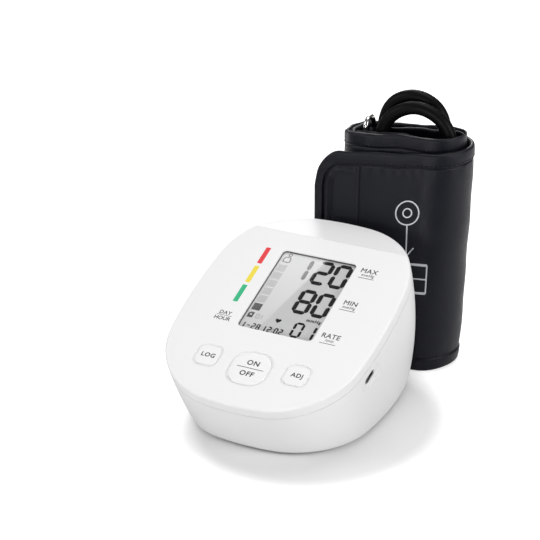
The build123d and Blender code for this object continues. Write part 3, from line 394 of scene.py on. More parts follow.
def textured_finish(name, effect, rate, colour, roughness, depth, colour_swing, gloss_swing, **sockets):
    """A material whose bump, colour and roughness vary with one of the shared effects: its bumps per metre, their
    depth in metres, and how far the colour (as a share) and the roughness swing."""
    made = plain_finish(name, colour, roughness, **sockets)
    tree = made.node_tree
    shader = tree.nodes["Principled BSDF"]
    source = tree.nodes.new("ShaderNodeGroup")
    source.node_tree = effect
    source.inputs[0].default_value = rate
    raised = tree.nodes.new("ShaderNodeBump")
    raised.inputs["Distance"].default_value = depth
    raised.inputs["Strength"].default_value = 1.0
    tree.links.new(source.outputs["Height"], raised.inputs["Height"])
    tree.links.new(raised.outputs["Normal"], shader.inputs["Normal"])
    slow = source.outputs[1]
    spread = tree.nodes.new("ShaderNodeMapRange")
    spread.inputs["From Min"].default_value = 0.3
    spread.inputs["From Max"].default_value = 0.7
    spread.inputs["To Min"].default_value = max(0.0, roughness - gloss_swing)
    spread.inputs["To Max"].default_value = min(1.0, roughness + gloss_swing)
    tree.links.new(slow, spread.inputs["Value"])
    tree.links.new(spread.outputs["Result"], shader.inputs["Roughness"])
    tint = tree.nodes.new("ShaderNodeMix")
    tint.data_type = "RGBA"
    tint.inputs[6].default_value = [c * (1 - colour_swing) for c in colour[:3]] + [1.0]
    tint.inputs[7].default_value = [min(1.0, c * (1 + colour_swing)) for c in colour[:3]] + [1.0]
    tree.links.new(slow, tint.inputs[0])
    tree.links.new(tint.outputs[2], shader.inputs["Base Color"])
    return made


finishes = {}


def mix_finishes():
    """Makes every finish once, from the settings."""
    monitor, cuff = bpy.context.scene.monitor_colours, bpy.context.scene.cuff_cloth
    grain, weave = moulded_grain(), woven_cloth()
    threads = 1.0 / cuff.weave
    rough = monitor.shell_roughness
    finishes.update(
        shell=textured_finish("satin white moulding", grain, 2600, tuple(monitor.shell), rough,
                              monitor.grain, 0.006, 0.03, IOR=1.46),
        button=textured_finish("satin white cap", grain, 3000, tuple(monitor.button), rough - 0.03,
                               monitor.grain, 0.005, 0.02, IOR=1.46),
        black_plastic=textured_finish("black moulding", grain, 2400, (0.014, 0.014, 0.015, 1), 0.42,
                                      3e-5, 0.1, 0.05),
        silicone=textured_finish("grey silicone", grain, 1800, (0.36, 0.37, 0.38, 1), 0.6, 3e-5, 0.05, 0.05),
        skirt=textured_finish("pale silicone", grain, 1800, (0.80, 0.80, 0.805, 1), 0.6, 2e-5, 0.02, 0.05),
        foot=textured_finish("foot rubber", grain, 1500, (0.42, 0.42, 0.42, 1), 0.75, 5e-5, 0.06, 0.05),
        hose=textured_finish("hose rubber", grain, 900, (0.0030, 0.0031, 0.0035, 1), 0.42, 1e-5, 0.1, 0.05,
                             Specular_IOR_Level=0.10),
        bladder=textured_finish("bladder rubber", grain, 1500, (0.02, 0.02, 0.02, 1), 0.55, 3e-5, 0.1, 0.05),
        cloth=textured_finish("coated nylon", weave, threads, tuple(cuff.cloth), 0.38, 0.00007, 0.15, 0.06,
                              Specular_IOR_Level=0.29, Sheen_Weight=0.03, Sheen_Roughness=0.4),
        hook=textured_finish("hook tape", weave, threads / 3, (0.012, 0.013, 0.015, 1), 0.7,
                             0.0006, 0.3, 0.08, Sheen_Weight=0.2),
        thread=textured_finish("sewing thread", grain, 3000, tuple(cuff.thread), 0.8, 4e-5, 0.25, 0.08,
                               Specular_IOR_Level=0.05),
        mark=textured_finish("white cloth print", grain, 2400, (0.62, 0.64, 0.68, 1), 0.6, 2e-5, 0.08, 0.08),
        cap_ink=textured_finish("dark print", grain, 2000, (0.012, 0.0125, 0.014, 1), 0.5, 5e-6, 0.15, 0.08),
        ink=textured_finish("grey print", grain, 2000, tuple(monitor.print_ink), 0.5, 5e-6, 0.15, 0.08),
        high=textured_finish("red print", grain, 2000, tuple(monitor.bar_high), 0.45, 5e-6, 0.04, 0.06),
        middle=textured_finish("yellow print", grain, 2000, tuple(monitor.bar_middle), 0.45,
                               5e-6, 0.04, 0.06),
        low=textured_finish("green print", grain, 2000, tuple(monitor.bar_low), 0.45, 5e-6, 0.04, 0.06),
        steel=textured_finish("plated steel", grain, 900, (0.62, 0.62, 0.61, 1), 0.28, 1e-5, 0.05, 0.06,
                              Metallic=1.0),
        ring=textured_finish("polished wire", grain, 500, (0.82, 0.81, 0.78, 1), 0.13, 4e-6, 0.04, 0.04,
                             Metallic=1.0),
        board=textured_finish("green board", grain, 700, (0.012, 0.11, 0.045, 1), 0.35, 1e-5, 0.1, 0.05),
        cell=textured_finish("cell jacket", grain, 900, (0.03, 0.035, 0.05, 1), 0.3, 1e-5, 0.1, 0.05),
        lit_segment=textured_finish("dark segment", grain, 4000, (0.006, 0.0062, 0.007, 1), 0.8,
                                    2e-6, 0.2, 0.05, Specular_IOR_Level=0.05),
        # Lit segments painted grey: a painted reflection of the window's glare over them.
        dim_segment=textured_finish("dim segment", grain, 4000, (0.08, 0.082, 0.08, 1), 0.8,
                                    2e-6, 0.03, 0.05),
        resting_segment=textured_finish("resting segment", grain, 4000, (0.375, 0.38, 0.375, 1), 0.5,
                                        2e-6, 0.03, 0.05),
        window=clear_finish(grain),
        display=display_finish(),
    )


def clear_finish(grain):
    """Clear plastic that mirrors and bends what is seen through it, and lets the lamps' light straight
    through."""
    made = textured_finish("clear window", grain, 1200, (0.98, 0.985, 0.985, 1), 0.015, 1e-7, 0.005, 0.01,
                           IOR=1.49, Transmission_Weight=1.0)
    tree = made.node_tree
    path = tree.nodes.new("ShaderNodeLightPath")
    straight = tree.nodes.new("ShaderNodeBsdfTransparent")
    mix = tree.nodes.new("ShaderNodeMixShader")
    inner = maths(tree, "MAXIMUM", path.outputs["Is Shadow Ray"], path.outputs["Is Diffuse Ray"])
    tree.links.new(inner, mix.inputs[0])
    tree.links.new(tree.nodes["Principled BSDF"].outputs[0], mix.inputs[1])
    tree.links.new(straight.outputs[0], mix.inputs[2])
    tree.links.new(mix.outputs[0], tree.nodes["Material Output"].inputs["Surface"])
    return made


def display_finish():
    """The display's grey cell with a fine cross grain of dots."""
    made = plain_finish("display cell", (0.56, 0.57, 0.565, 1), 0.3)
    tree = made.node_tree
    shader = tree.nodes["Principled BSDF"]
    place = tree.nodes.new("ShaderNodeTexCoord")
    noise = tree.nodes.new("ShaderNodeTexNoise")
    noise.inputs["Scale"].default_value = 5000.0
    tint = tree.nodes.new("ShaderNodeMix")
    tint.data_type = "RGBA"
    tint.inputs[6].default_value = (0.52, 0.525, 0.52, 1)
    tint.inputs[7].default_value = (0.57, 0.575, 0.57, 1)
    tree.links.new(place.outputs["Object"], noise.inputs["Vector"])
    tree.links.new(noise.outputs["Fac"], tint.inputs[0])
    tree.links.new(tint.outputs[2], shader.inputs["Base Color"])
    return made


# ---------------------------------------------------------------- the monitor
# Each button cap's middle (right, up), width, length and corner radius.
BUTTONS = ((-26.4, -41.1, 12.5, 12.5, 3.5), (0.0, -43.5, 21.4, 21.0, 8.0), (26.4, -41.1, 12.5, 12.5, 3.5))

# The skirt's inner and outer edge outside the cap's outline, and its top and bottom below the panel.
SKIRT_INNER, SKIRT_OUTER = 0.05, 0.24
SKIRT_TOP, SKIRT_BOTTOM = 0.42, 0.9
SKIRT_STEPS = 15


class MONITOR_OT_mouldings(bpy.types.Operator):
    """Gives the shells, the buttons, the door and all that shows from outside their finish."""

    bl_idname = "monitor.mouldings"
    bl_label = "Finish the mouldings"

    def execute(self, context):
        smooth_copy("upper_shell", finishes["shell"], 20)
        smooth_copy("lower_housing", finishes["shell"], 20)
        smooth_copy("battery_door", finishes["shell"], 30)
        for node in ("main_button", "left_button", "right_button"):
            smooth_copy(node, finishes["button"], 30)
        smooth_copy("air_socket", finishes["black_plastic"], 30)
        smooth_copy("rubber_feet", finishes["foot"], 30)
        smooth_copy("usb_socket", finishes["steel"], 30)
        return {"FINISHED"}


class MONITOR_OT_button_skirts(bpy.types.Operator):
    """Fills the gap round each button cap with the keypad's pale skirt, a little below the panel."""

    bl_idname = "monitor.button_skirts"
    bl_label = "Make the buttons' skirts"

    def execute(self, context):
        rings = [
            rounded_ring((x, y), width, length, corner, SKIRT_INNER, SKIRT_OUTER, -SKIRT_TOP, -SKIRT_BOTTOM,
                         SKIRT_STEPS)
            for x, y, width, length, corner in BUTTONS
        ]
        loops, sides = rings[0].shape[:2]
        ring_faces = grid_faces(loops, sides, True, True)
        faces = np.concatenate([ring_faces + loops * sides * k for k in range(len(rings))])
        made = piece("button_skirts", on_panel(np.concatenate(rings)), faces, "monitor",
                     finishes["skirt"])
        weld(made, 1e-7)
        return {"FINISHED"}


class MONITOR_OT_inner_pieces(bpy.types.Operator):
    """Gives the pieces inside the housing their finish."""

    bl_idname = "monitor.inner_pieces"
    bl_label = "Finish the inner pieces"

    def execute(self, context):
        for finish, nodes in {
            "shell": ("lcd_frame",),
            "display": ("lcd_panel",),
            "window": ("display_lens",),
            "silicone": ("button_pad", "pump_saddle", "air_tubes"),
            "board": ("main_board",),
            "steel": ("board_screws", "housing_screws", "battery_contacts", "pump_motor", "pump_shaft",
                      "release_valve"),
            "black_plastic": ("pressure_sensor", "buzzer", "pump_head", "air_tee", "hose_port", "air_plug"),
            "cell": ("aa_batteries",),
            "bladder": ("cuff_bladder",),
        }.items():
            for node in nodes:
                coat_node(node, finishes[finish])
        return {"FINISHED"}


# The window's middle, size and corner radius on the panel, the depths of what lies under it, and how far in_window
# moves the display's places.
WINDOW_X, WINDOW_Y = 0.9, 12.05
WINDOW_WIDTH, WINDOW_LENGTH = 45.0, 58.5
WINDOW_CORNER = 2.5
WINDOW_LEFT = WINDOW_X - WINDOW_WIDTH / 2
WINDOW_TOP = WINDOW_Y + WINDOW_LENGTH / 2
DISPLAY_DEPTH = 1.9
SEGMENT_HEIGHT = 0.03
# The black ring under the window, partly a printed border and partly painted shade for the window's recess walls:
# its depth, thickness and reach inside and outside the window's edge.
BORDER_DEPTH = 1.85
BORDER_HEIGHT = 0.03
BORDER_INSIDE, BORDER_OUTSIDE = 0.35, 1.6
SIGHT_SHIFT_X, SIGHT_SHIFT_Y = 1.0, 0.87


def in_window(outline):
    """Window places (right from its left edge, down from its top edge) as panel places, moved on the deeper display
    so that they stand there for someone who looks down at the panel from its right."""
    outline = np.asarray(outline, float)
    right = WINDOW_LEFT + outline[..., 0] - SIGHT_SHIFT_X
    return np.stack([right, WINDOW_TOP - outline[..., 1] + SIGHT_SHIFT_Y], -1)


FIGURES = {
    "0": "abcdef", "1": "bc", "2": "abged", "3": "abgcd", "4": "fgbc", "5": "afgcd",
    "6": "afgedc", "7": "abc", "8": "abcdefg", "9": "abcdfg", "-": "g",
}


# Bars thicker than this are drawn with pointed ends.
LARGE_BAR = 1.2


def figure_segments(figure, left, top, width, height, thick):
    """The lit segments of one figure: bars along the seven places, set a little apart, with pointed ends in large
    figures and square ends in small ones."""
    large = thick > LARGE_BAR
    point = 0.10 + 0.09 * thick if large else 0.02
    blunt, slope = (0.24, 0.42) if large else (1.0, 0.05)
    shoulder = point + thick * slope
    right, bottom = left + width, top + height
    x0, x1 = left + thick / 2, right - thick / 2
    y0, ym, y1 = top + thick / 2, (top + bottom) / 2, bottom - thick / 2
    ends = {
        "a": ((x0, y0), (x1, y0)), "b": ((x1, y0), (x1, ym)), "c": ((x1, ym), (x1, y1)),
        "d": ((x0, y1), (x1, y1)), "e": ((x0, ym), (x0, y1)), "f": ((x0, y0), (x0, ym)),
        "g": ((x0, ym), (x1, ym)),
    }
    made = []
    for letter in FIGURES.get(figure, ""):
        start, end = (np.array(place, float) for place in ends[letter])
        along = (end - start) / np.linalg.norm(end - start)
        across = np.array([-along[1], along[0]]) * thick / 2
        outline = np.array([
            start + along * point + across * blunt, start + along * shoulder + across,
            end - along * shoulder + across, end - along * point + across * blunt,
            end - along * point - across * blunt, end - along * shoulder - across,
            start + along * shoulder - across, start + along * point - across * blunt,
        ])
        made.append(in_window(outline)[::-1])
    return made


COLON_DOT, COLON_WIDTH = 0.55, 1.1
SPACE_WIDTH = 2.0


def row_of_figures(text, left, top, width, height, thick, pitch):
    """Small figures side by side, with a narrow place for a colon or a space, and closer beside a 1."""
    made, x = [], left
    for figure in text:
        if figure == ":":
            for y in (top + height * 0.32, top + height * 0.68):
                made.append(in_window(rounded_plate((x + 0.35, y), COLON_DOT, COLON_DOT, 0.12))[::-1])
            x += COLON_WIDTH
        elif figure == " ":
            x += SPACE_WIDTH
        else:
            narrow = width * 0.62 if figure == "1" else 0.0
            made += figure_segments(figure, x - narrow, top, width, height, thick)
            x += pitch - narrow * 0.6
    return made


def heart(middle, size):
    """Outline of a heart: the usual sine and cosine curve."""
    t = np.linspace(0, 2 * math.pi, 28, endpoint=False)
    x = 16 * np.sin(t) ** 3
    y = -(13 * np.cos(t) - 5 * np.cos(2 * t) - 2 * np.cos(3 * t) - np.cos(4 * t))
    return np.stack([x, y], -1) * size / 32 + np.asarray(middle, float)


# The rows of large figures: the value, its top edge, a figure's width and height, and for each figure its left
# edge, its bars' thickness and its state: lit, or lit but painted grey as a painted reflection of the window's
# glare.
FIGURE_ROWS = (
    ("upper", 2.0, 9.9, 17.8, ((11.4, 2.4, "dim"), (24.1, 2.5, "lit"), (35.0, 2.5, "lit"))),
    ("lower", 24.0, 9.9, 17.9, ((24.0, 2.5, "lit"), (34.9, 2.5, "lit"))),
    ("rate", 47.3, 6.2, 11.0, ((31.0, 1.5, "lit"), (38.3, 1.5, "lit"))),
)
# The small rows: left, top, width, height, bars' thickness and pitch.
CLOCK_ROW = (3.4, 54.4, 2.35, 4.3, 0.8, 2.85)
MEMORY_ROW = (7.3, 47.5, 2.4, 3.7, 0.8, 3.2)
# The column of squares beside the figures: the lit one's place, the others' places, and a square's side.
LEVEL_LIT = (5.0, 43.0)
LEVEL_X, LEVELS = 5.2, (13.0, 19.0, 25.0, 31.0, 37.0)
LEVEL_SIDE = 5.0


class MONITOR_OT_display(bpy.types.Operator):
    """Lays the display's lit and resting segments on its cell, under the window; lit segments under the window's
    glare are painted grey, a painted reflection.
    """

    bl_idname = "monitor.display"
    bl_label = "Make the display"

    def execute(self, context):
        shown = context.scene.display_contents
        marks = {"lit": [], "dim": [], "resting": []}
        for value, top, width, height, places in FIGURE_ROWS:
            figures = getattr(shown, value)[-len(places):].rjust(len(places))
            for figure, (left, thick, state) in zip(figures, places):
                marks[state] += figure_segments(figure, left, top, width, height, thick)
        marks["lit"] += row_of_figures(shown.clock, *CLOCK_ROW)
        marks["lit"].append(in_window(heart((21.0, 49.3), 3.5))[::-1])
        marks["lit"].append(self.level(LEVEL_LIT))
        marks["resting"] += [self.level((LEVEL_X, y)) for y in LEVELS]
        marks["resting"] += row_of_figures("01", *MEMORY_ROW)
        marks["lit"] += self.memory_card()
        # The person outline gets the same painted grey, a painted reflection of the window's glare.
        marks["dim"] += self.person()
        for state, outlines in marks.items():
            points, faces = slabs(outlines, -DISPLAY_DEPTH, -DISPLAY_DEPTH + SEGMENT_HEIGHT)
            piece(f"display_{state}_segments", on_panel(points), faces, "monitor",
                  finishes[state + "_segment"], smooth=False)
        unit, faces = lettering("mmHg", in_window((40.1, 44.6)), 2.0, 1.2, 0.04)
        unit[:, 2] = -DISPLAY_DEPTH + SEGMENT_HEIGHT * unit[:, 2]
        piece("display_unit", on_panel(unit), faces, "monitor", finishes["lit_segment"],
              smooth=False)
        self.border()
        return {"FINISHED"}

    def level(self, place):
        """One square of the column beside the figures."""
        return in_window(rounded_plate(place, LEVEL_SIDE, LEVEL_SIDE, 0.25))[::-1]

    def memory_card(self):
        """A small card with a cut corner and an open label field."""
        shapes = (
            ((2.5, 49.4), (5.8, 49.4), (5.8, 51.1), (2.5, 51.1)),
            ((2.5, 48.2), (3.6, 47.1), (3.6, 49.4), (2.5, 49.4)),
            ((3.6, 47.1), (5.8, 47.1), (5.8, 48.2), (3.6, 48.2)),
            ((4.8, 48.2), (5.8, 48.2), (5.8, 49.4), (4.8, 49.4)),
        )
        return [in_window(shape)[::-1] for shape in shapes]

    def person(self):
        """A head and shoulders in outline."""
        turn = np.linspace(0, 2 * math.pi, 19)
        head = np.stack([5.7 + 1.0 * np.cos(turn), 2.7 + 1.0 * np.sin(turn)], -1)
        bars = [head[k:k + 2] for k in range(18)]
        body = np.array([(3.3, 8.3), (3.3, 5.6), (4.1, 4.6), (6.5, 4.6), (7.3, 5.6), (7.3, 8.3), (3.3, 8.3)])
        bars += [body[k:k + 2] for k in range(6)]
        return [in_window(band(bar, 0.7)) for bar in bars]

    def border(self):
        """A black ring on the underside of the clear window: partly a printed border, partly painted shade for the
        window's recess walls.
        """
        loop = rounded_ring((WINDOW_X, WINDOW_Y), WINDOW_WIDTH, WINDOW_LENGTH, WINDOW_CORNER, -BORDER_INSIDE,
                            BORDER_OUTSIDE, -(BORDER_DEPTH - BORDER_HEIGHT), -BORDER_DEPTH)
        piece("window_border", on_panel(loop), grid_faces(*loop.shape[:2], True, True), "monitor",
              finishes["black_plastic"], smooth=False)


# A capital letter's height as a share of the font's size, and the size that letters are drawn at.
CAP_HEIGHT = 0.7
FONT_SIZE = 10.0


def lettering(words, middle, height, spacing, weight=0.016):
    """Letters from the built-in font, a little bolder, as points (right, up, 0 at their back and 1 at their face)
    about a middle, and their faces."""
    curve = bpy.data.curves.new("lettering", "FONT")
    curve.body = words
    curve.size = FONT_SIZE
    curve.bevel_depth = FONT_SIZE * weight
    curve.bevel_resolution = 0
    curve.space_character = spacing
    curve.resolution_u = 3
    curve.extrude = 0.5
    carrier = bpy.data.objects.new("lettering", curve)
    bpy.context.scene.collection.objects.link(carrier)
    graph = bpy.context.evaluated_depsgraph_get()
    mesh = bpy.data.meshes.new_from_object(carrier.evaluated_get(graph))
    points = np.zeros(len(mesh.vertices) * 3)
    mesh.vertices.foreach_get("co", points)
    points = points.reshape(-1, 3)
    faces = [list(face.vertices) for face in mesh.polygons]
    bpy.data.objects.remove(carrier)
    bpy.data.curves.remove(curve)
    bpy.data.meshes.remove(mesh)
    low, high = points.min(0), points.max(0)
    scale = height / (FONT_SIZE * CAP_HEIGHT)
    centre = np.array([(low[0] + high[0]) / 2, FONT_SIZE * CAP_HEIGHT / 2])
    flat = (points[:, :2] - centre) * scale + np.asarray(middle, float)
    return np.column_stack([flat, np.where(points[:, 2] > 0, 1.0, 0.0)]), faces


def gather(parts):
    """Joins arrays of points with their faces into one."""
    points, faces, first = [], [], 0
    for some, theirs in parts:
        points.append(some)
        faces += [[first + k for k in face] for face in theirs]
        first += len(some)
    return np.concatenate(points), faces


def printed(name, parts, base, rise, body, finish):
    """One print on the panel: parts whose third value is 0 at the bottom and 1 at the top of the ink."""
    points, faces = gather(parts)
    points[:, 2] = base + points[:, 2] * rise
    return piece(name, on_panel(points), faces, body, finish, smooth=False)


def rule(x0, x1, y, width):
    """A printed line across."""
    return slabs([[(x0, y - width / 2), (x1, y - width / 2), (x1, y + width / 2), (x0, y + width / 2)]], 0, 1)


# The labels at the window's right: words, unit and the height of the label's top below the window's top.
LABELS = (("MAX", "mmHg", 0.0), ("MIN", "mmHg", 24.4), ("RATE", "/min", 49.0))
LABEL_LEFT, LABEL_WIDTH = WINDOW_LEFT + 49.0, 9.3
# The label at its lower left.
DATE_LEFT, DATE_WIDTH = WINDOW_LEFT - 14.5, 9.0
# The three-colour scale: piece, finish, top and bottom below the window's top.
SCALE_BARS = (
    ("scale_bar_high", "high", 0.8, 13.3),
    ("scale_bar_middle", "middle", 15.4, 28.0),
    ("scale_bar_low", "low", 30.1, 42.9),
)
SCALE_X, SCALE_WIDTH = WINDOW_LEFT - 9.05, 2.85
# How far the button caps' faces stand above the panel, and the weight of their letters.
CAP_RISE = 0.35
CAP_WEIGHT = 0.022


class MONITOR_OT_prints(bpy.types.Operator):
    """Prints the plain labels, the three-colour scale and the button caps' words."""

    bl_idname = "monitor.prints"
    bl_label = "Make the prints"

    def execute(self, context):
        rise = context.scene.monitor_colours.print_height / MM
        labels = []
        middle = LABEL_LEFT + LABEL_WIDTH / 2
        for words, unit, top in LABELS:
            y = WINDOW_TOP - top
            labels.append(lettering(words, (middle, y - 3.1), 3.15, 1.04, 0.011))
            labels.append(lettering(unit, (middle + 0.3, y - 6.2), 1.85, 1.1, 0.009))
            labels.append(rule(LABEL_LEFT, LABEL_LEFT + LABEL_WIDTH, y - 8.5, 0.34))
        middle = DATE_LEFT + DATE_WIDTH / 2
        labels.append(lettering("DAY", (middle, WINDOW_TOP - 51.8), 2.4, 1.1))
        labels.append(rule(DATE_LEFT, DATE_LEFT + DATE_WIDTH, WINDOW_TOP - 53.8, 0.28))
        labels.append(lettering("HOUR", (middle, WINDOW_TOP - 55.9), 2.4, 0.98))
        printed("panel_labels", labels, 0.0, rise, "monitor", finishes["ink"])
        for name, finish, top, bottom in SCALE_BARS:
            outline = rounded_plate((SCALE_X, WINDOW_TOP - (top + bottom) / 2), SCALE_WIDTH, bottom - top, 0.25)
            printed(name, [slabs([outline], 0, 1)], 0.0, rise, "monitor", finishes[finish])
        for button, parts in (
            ("main_button", [
                lettering("ON", (0.2, WINDOW_TOP - 80.9), 3.1, 1.12, CAP_WEIGHT),
                rule(-7.6, 7.9, WINDOW_TOP - 84.6, 0.35),
                lettering("OFF", (0.0, WINDOW_TOP - 88.4), 3.1, 1.12, CAP_WEIGHT)]),
            ("left_button", [lettering("LOG", (-26.3, WINDOW_TOP - 82.2), 2.7, 1.12, CAP_WEIGHT)]),
            ("right_button", [lettering("ADJ", (26.5, WINDOW_TOP - 82.2), 2.7, 1.12, CAP_WEIGHT)]),
        ):
            printed(button + "_words", parts, CAP_RISE, rise, button, finishes["cap_ink"])
        return {"FINISHED"}


# ---------------------------------------------------------------- the cuff
# Half the length of the roll's straight sides, and the whole, which is one phase.
ROLL_STRAIGHT = 18.0
ROLL_FLAT = 2 * ROLL_STRAIGHT
CLOTH_WIDTH = 130.0
# The phases at which the strip starts and ends.
FREE_PHASE = -28.2 / ROLL_FLAT
LAST_PHASE = 10.95
# The free end's corner radius and hem, and how far from it the seams and the mark lie.
FREE_CORNER = 14.0
FREE_HEM = 6.0
CROSS_SEAM = 27.5
SIDE_SEAM = 103.0
MARK_PLACE = 57.0


def smooth_between(value, knots, levels):
    """Levels at knots, joined by curves that are level at each knot."""
    knots, levels = np.asarray(knots, float), np.asarray(levels, float)
    value = np.clip(value, knots[0], knots[-1])
    place = np.clip(np.searchsorted(knots, value, side="right") - 1, 0, len(knots) - 2)
    share = (value - knots[place]) / (knots[place + 1] - knots[place])
    share = share * share * (3 - 2 * share)
    return levels[place] * (1 - share) + levels[place + 1] * share


def strip_middle(phase):
    """The rolled strip's middle line seen from above. One turn is four phases: front, right end, back, left end.
    The straights lie at a distance that shrinks turn by turn, and each end is half an ellipse."""
    phase = np.asarray(phase, float)
    turn = np.floor(phase / 4.0)
    part = phase - 4.0 * turn
    depth = smooth_between(
        phase,
        [-1.0, 2.2, 3.0, 4.0, 7.0, 8.0, 10.3, LAST_PHASE],
        [19.9, 19.9, 18.7, 15.3, 15.3, 11.7, 11.7, 8.3],
    )
    right_reach = np.choose(np.clip(turn, 0, 2).astype(int), [19.9, 16.35, 15.35])
    left_reach = np.choose(np.clip(turn, 0, 2).astype(int), [15.5, 12.5, 12.5])
    angle_right = (part - 1.0) * math.pi - math.pi / 2
    angle_left = (part - 3.0) * math.pi + math.pi / 2
    u = np.select(
        [part < 1.0, part < 2.0, part < 3.0],
        [-ROLL_STRAIGHT + ROLL_FLAT * part, ROLL_STRAIGHT + right_reach * np.cos(angle_right),
         ROLL_STRAIGHT - ROLL_FLAT * (part - 2.0)],
        -ROLL_STRAIGHT + left_reach * np.cos(angle_left),
    )
    v = np.select(
        [part < 1.0, part < 2.0, part < 3.0],
        [-depth, depth * np.sin(angle_right), depth],
        depth * np.sin(angle_left),
    )
    u = np.where(phase < 0, -ROLL_STRAIGHT + ROLL_FLAT * phase, u)
    v = np.where(phase < 0, -depth, v)
    return np.stack([u, v], -1)


def strip_half_thickness(phase):
    """Half the cloth's thickness: padded on the straights, pressed thin round the inner turns' ends."""
    return smooth_between(
        phase,
        [-1.0, 2.6, 3.0, 3.5, 4.0, 5.0, 5.5, 6.0, 7.0, 7.5, 8.0, 9.0, 9.5, 10.0, 10.6, LAST_PHASE],
        [1.45, 1.45, 1.4, 1.35, 1.5, 1.3, 0.5, 1.3, 1.6, 1.4, 1.5, 1.3, 0.45, 1.3, 1.4, 0.6],
    )


def strip_top(phase):
    """Height of the strip's upper edge: low on the free flap, higher on the inner turns, as it was rolled."""
    level = smooth_between(
        phase,
        [FREE_PHASE, -0.4, 0.5, 1.05, 1.5, 2.5, 3.5, 4.0, 4.6, 5.5, 6.0, 6.6, 7.1, 7.6, 8.1,
         8.8, 9.5, 10.2, LAST_PHASE],
        [124.2, 124.8, 127.7, 130.0, 131.0, 131.4, 132.5, 135.3, 137.3, 137.5, 135.4, 133.6, 133.0, 132.2, 134.0,
         136.2, 136.4, 133.6, 132.4],
    )
    ripple = 0.16 * np.sin(phase * 9.7 + 0.6) + 0.09 * np.sin(phase * 23.1 + 2.0)
    return level + ripple * np.clip((phase - 2.6) / 1.0, 0.35, 1.0)


def strip_width(phase):
    """The strip's width: the whole cloth, or less where its upper edge stands lower than that above the table."""
    return np.minimum(CLOTH_WIDTH, strip_top(phase))


def rounded_distance(x, y, low_x, low_y, high_y, radius):
    """Distance inside a shape with a straight left side and two rounded left corners, open to the right."""
    centre_y, half_y = (low_y + high_y) / 2, (high_y - low_y) / 2
    over_x = low_x + radius - x
    over_y = np.abs(y - centre_y) - (half_y - radius)
    outside = np.hypot(np.maximum(over_x, 0), np.maximum(over_y, 0))
    return -(outside + np.minimum(np.maximum(over_x, over_y), 0) - radius)


def bump(x, width):
    """A soft hump one unit high and about two widths wide."""
    return np.exp(-((x / width) ** 2))


def strip_arrays(phases):
    """The strip at its phases: length along it, the middle line and the direction out of it."""
    run, fine = strip_run()
    length = np.interp(phases, fine, run)
    along = strip_middle(phases + 0.004) - strip_middle(phases - 0.004)
    along /= np.linalg.norm(along, axis=1)[:, None]
    outward = np.stack([along[:, 1], -along[:, 0]], -1)
    return length, strip_middle(phases), outward


# How the roll's right end leans in towards its foot: over what distance from the middle, by how much at the foot,
# and the height at which it ends.
LEAN_REACH, LEAN, LEAN_HEIGHT = 38.0, 5.0, 132.0
# How the free end hangs back at its upper and lower corners: by how much, and how far along and across it reaches.
SLACK, SLACK_ALONG, SLACK_ACROSS = 4.6, 42.0, 22.0
# The widths over which the cloth's edge is rounded and its relief dies out towards the edge.
EDGE_ROUND, RELIEF_FADE = 1.5, 2.2


def strip_surface(phase, drop, side):
    """Places on the cloth, their length along it and the direction out of the roll. phase and drop are equal
    arrays, and side is +1 on its outer face and -1 on its inner one."""
    length, middle, outward = strip_arrays(phase.ravel())
    length = length.reshape(phase.shape)
    top = strip_top(phase)
    width = strip_width(phase)
    edge = np.minimum(rounded_distance(length, drop, 0.0, 0.0, width, FREE_CORNER), strip_length() - length)
    edge = np.maximum(edge, 0.0)
    half = strip_half_thickness(phase)
    rounding = np.sqrt(np.clip(1 - (1 - np.minimum(edge / EDGE_ROUND, 1)) ** 2, 0, 1))
    relief = strip_relief(length, drop, width, phase) if side > 0 else 0.0
    out = side * half * rounding + relief * np.minimum(edge / RELIEF_FADE, 1)
    z = top - drop
    sway = strip_sway(length, z, phase)
    centre = middle.reshape(phase.shape + (2,))
    direction = outward.reshape(phase.shape + (2,))
    flat = centre + direction * (out + sway)[..., None]
    share = np.clip(flat[..., 0] / LEAN_REACH, 0, 1)
    share = share * share * (3 - 2 * share)
    flat[..., 0] -= share * LEAN * (1 - z / LEAN_HEIGHT)
    slack = np.clip(1 - np.minimum(drop, width - drop) / SLACK_ACROSS, 0, 1) ** 1.2
    flat[..., 0] += SLACK * slack * np.clip(1 - length / SLACK_ALONG, 0, 1) ** 2
    level = np.zeros(phase.shape + (1,))
    return np.concatenate([flat, z[..., None]], -1), length, np.concatenate([direction, level], -1)


@functools.cache
def strip_run():
    """Lengths along the strip's middle and the phases at which they are reached."""
    phases = np.linspace(FREE_PHASE, LAST_PHASE, 6000)
    steps = np.linalg.norm(np.diff(strip_middle(phases), axis=0), axis=1)
    return np.concatenate([[0], np.cumsum(steps)]), phases


def strip_length():
    """Length of the whole strip along its middle."""
    return float(strip_run()[0][-1])


def strip_sway(length, z, phase):
    """Slow waves of the whole cloth, none where turns lie tight on each other."""
    loose = np.clip((60.0 - length) / 60.0, 0, 1)
    wave = 0.55 * np.sin(length * 0.085 + 0.4) * np.sin(z * 0.031 + 0.5)
    wave = wave + 0.3 * np.sin(z * 0.06 + length * 0.05)
    crimp = np.clip((z - 112.0) / 22.0, 0, 1) ** 2
    near_left = bump(phase - 3.6, 0.55) + bump(phase - 7.7, 0.6)
    return wave * loose + 0.5 * crimp * near_left * np.sin(length * 0.62)


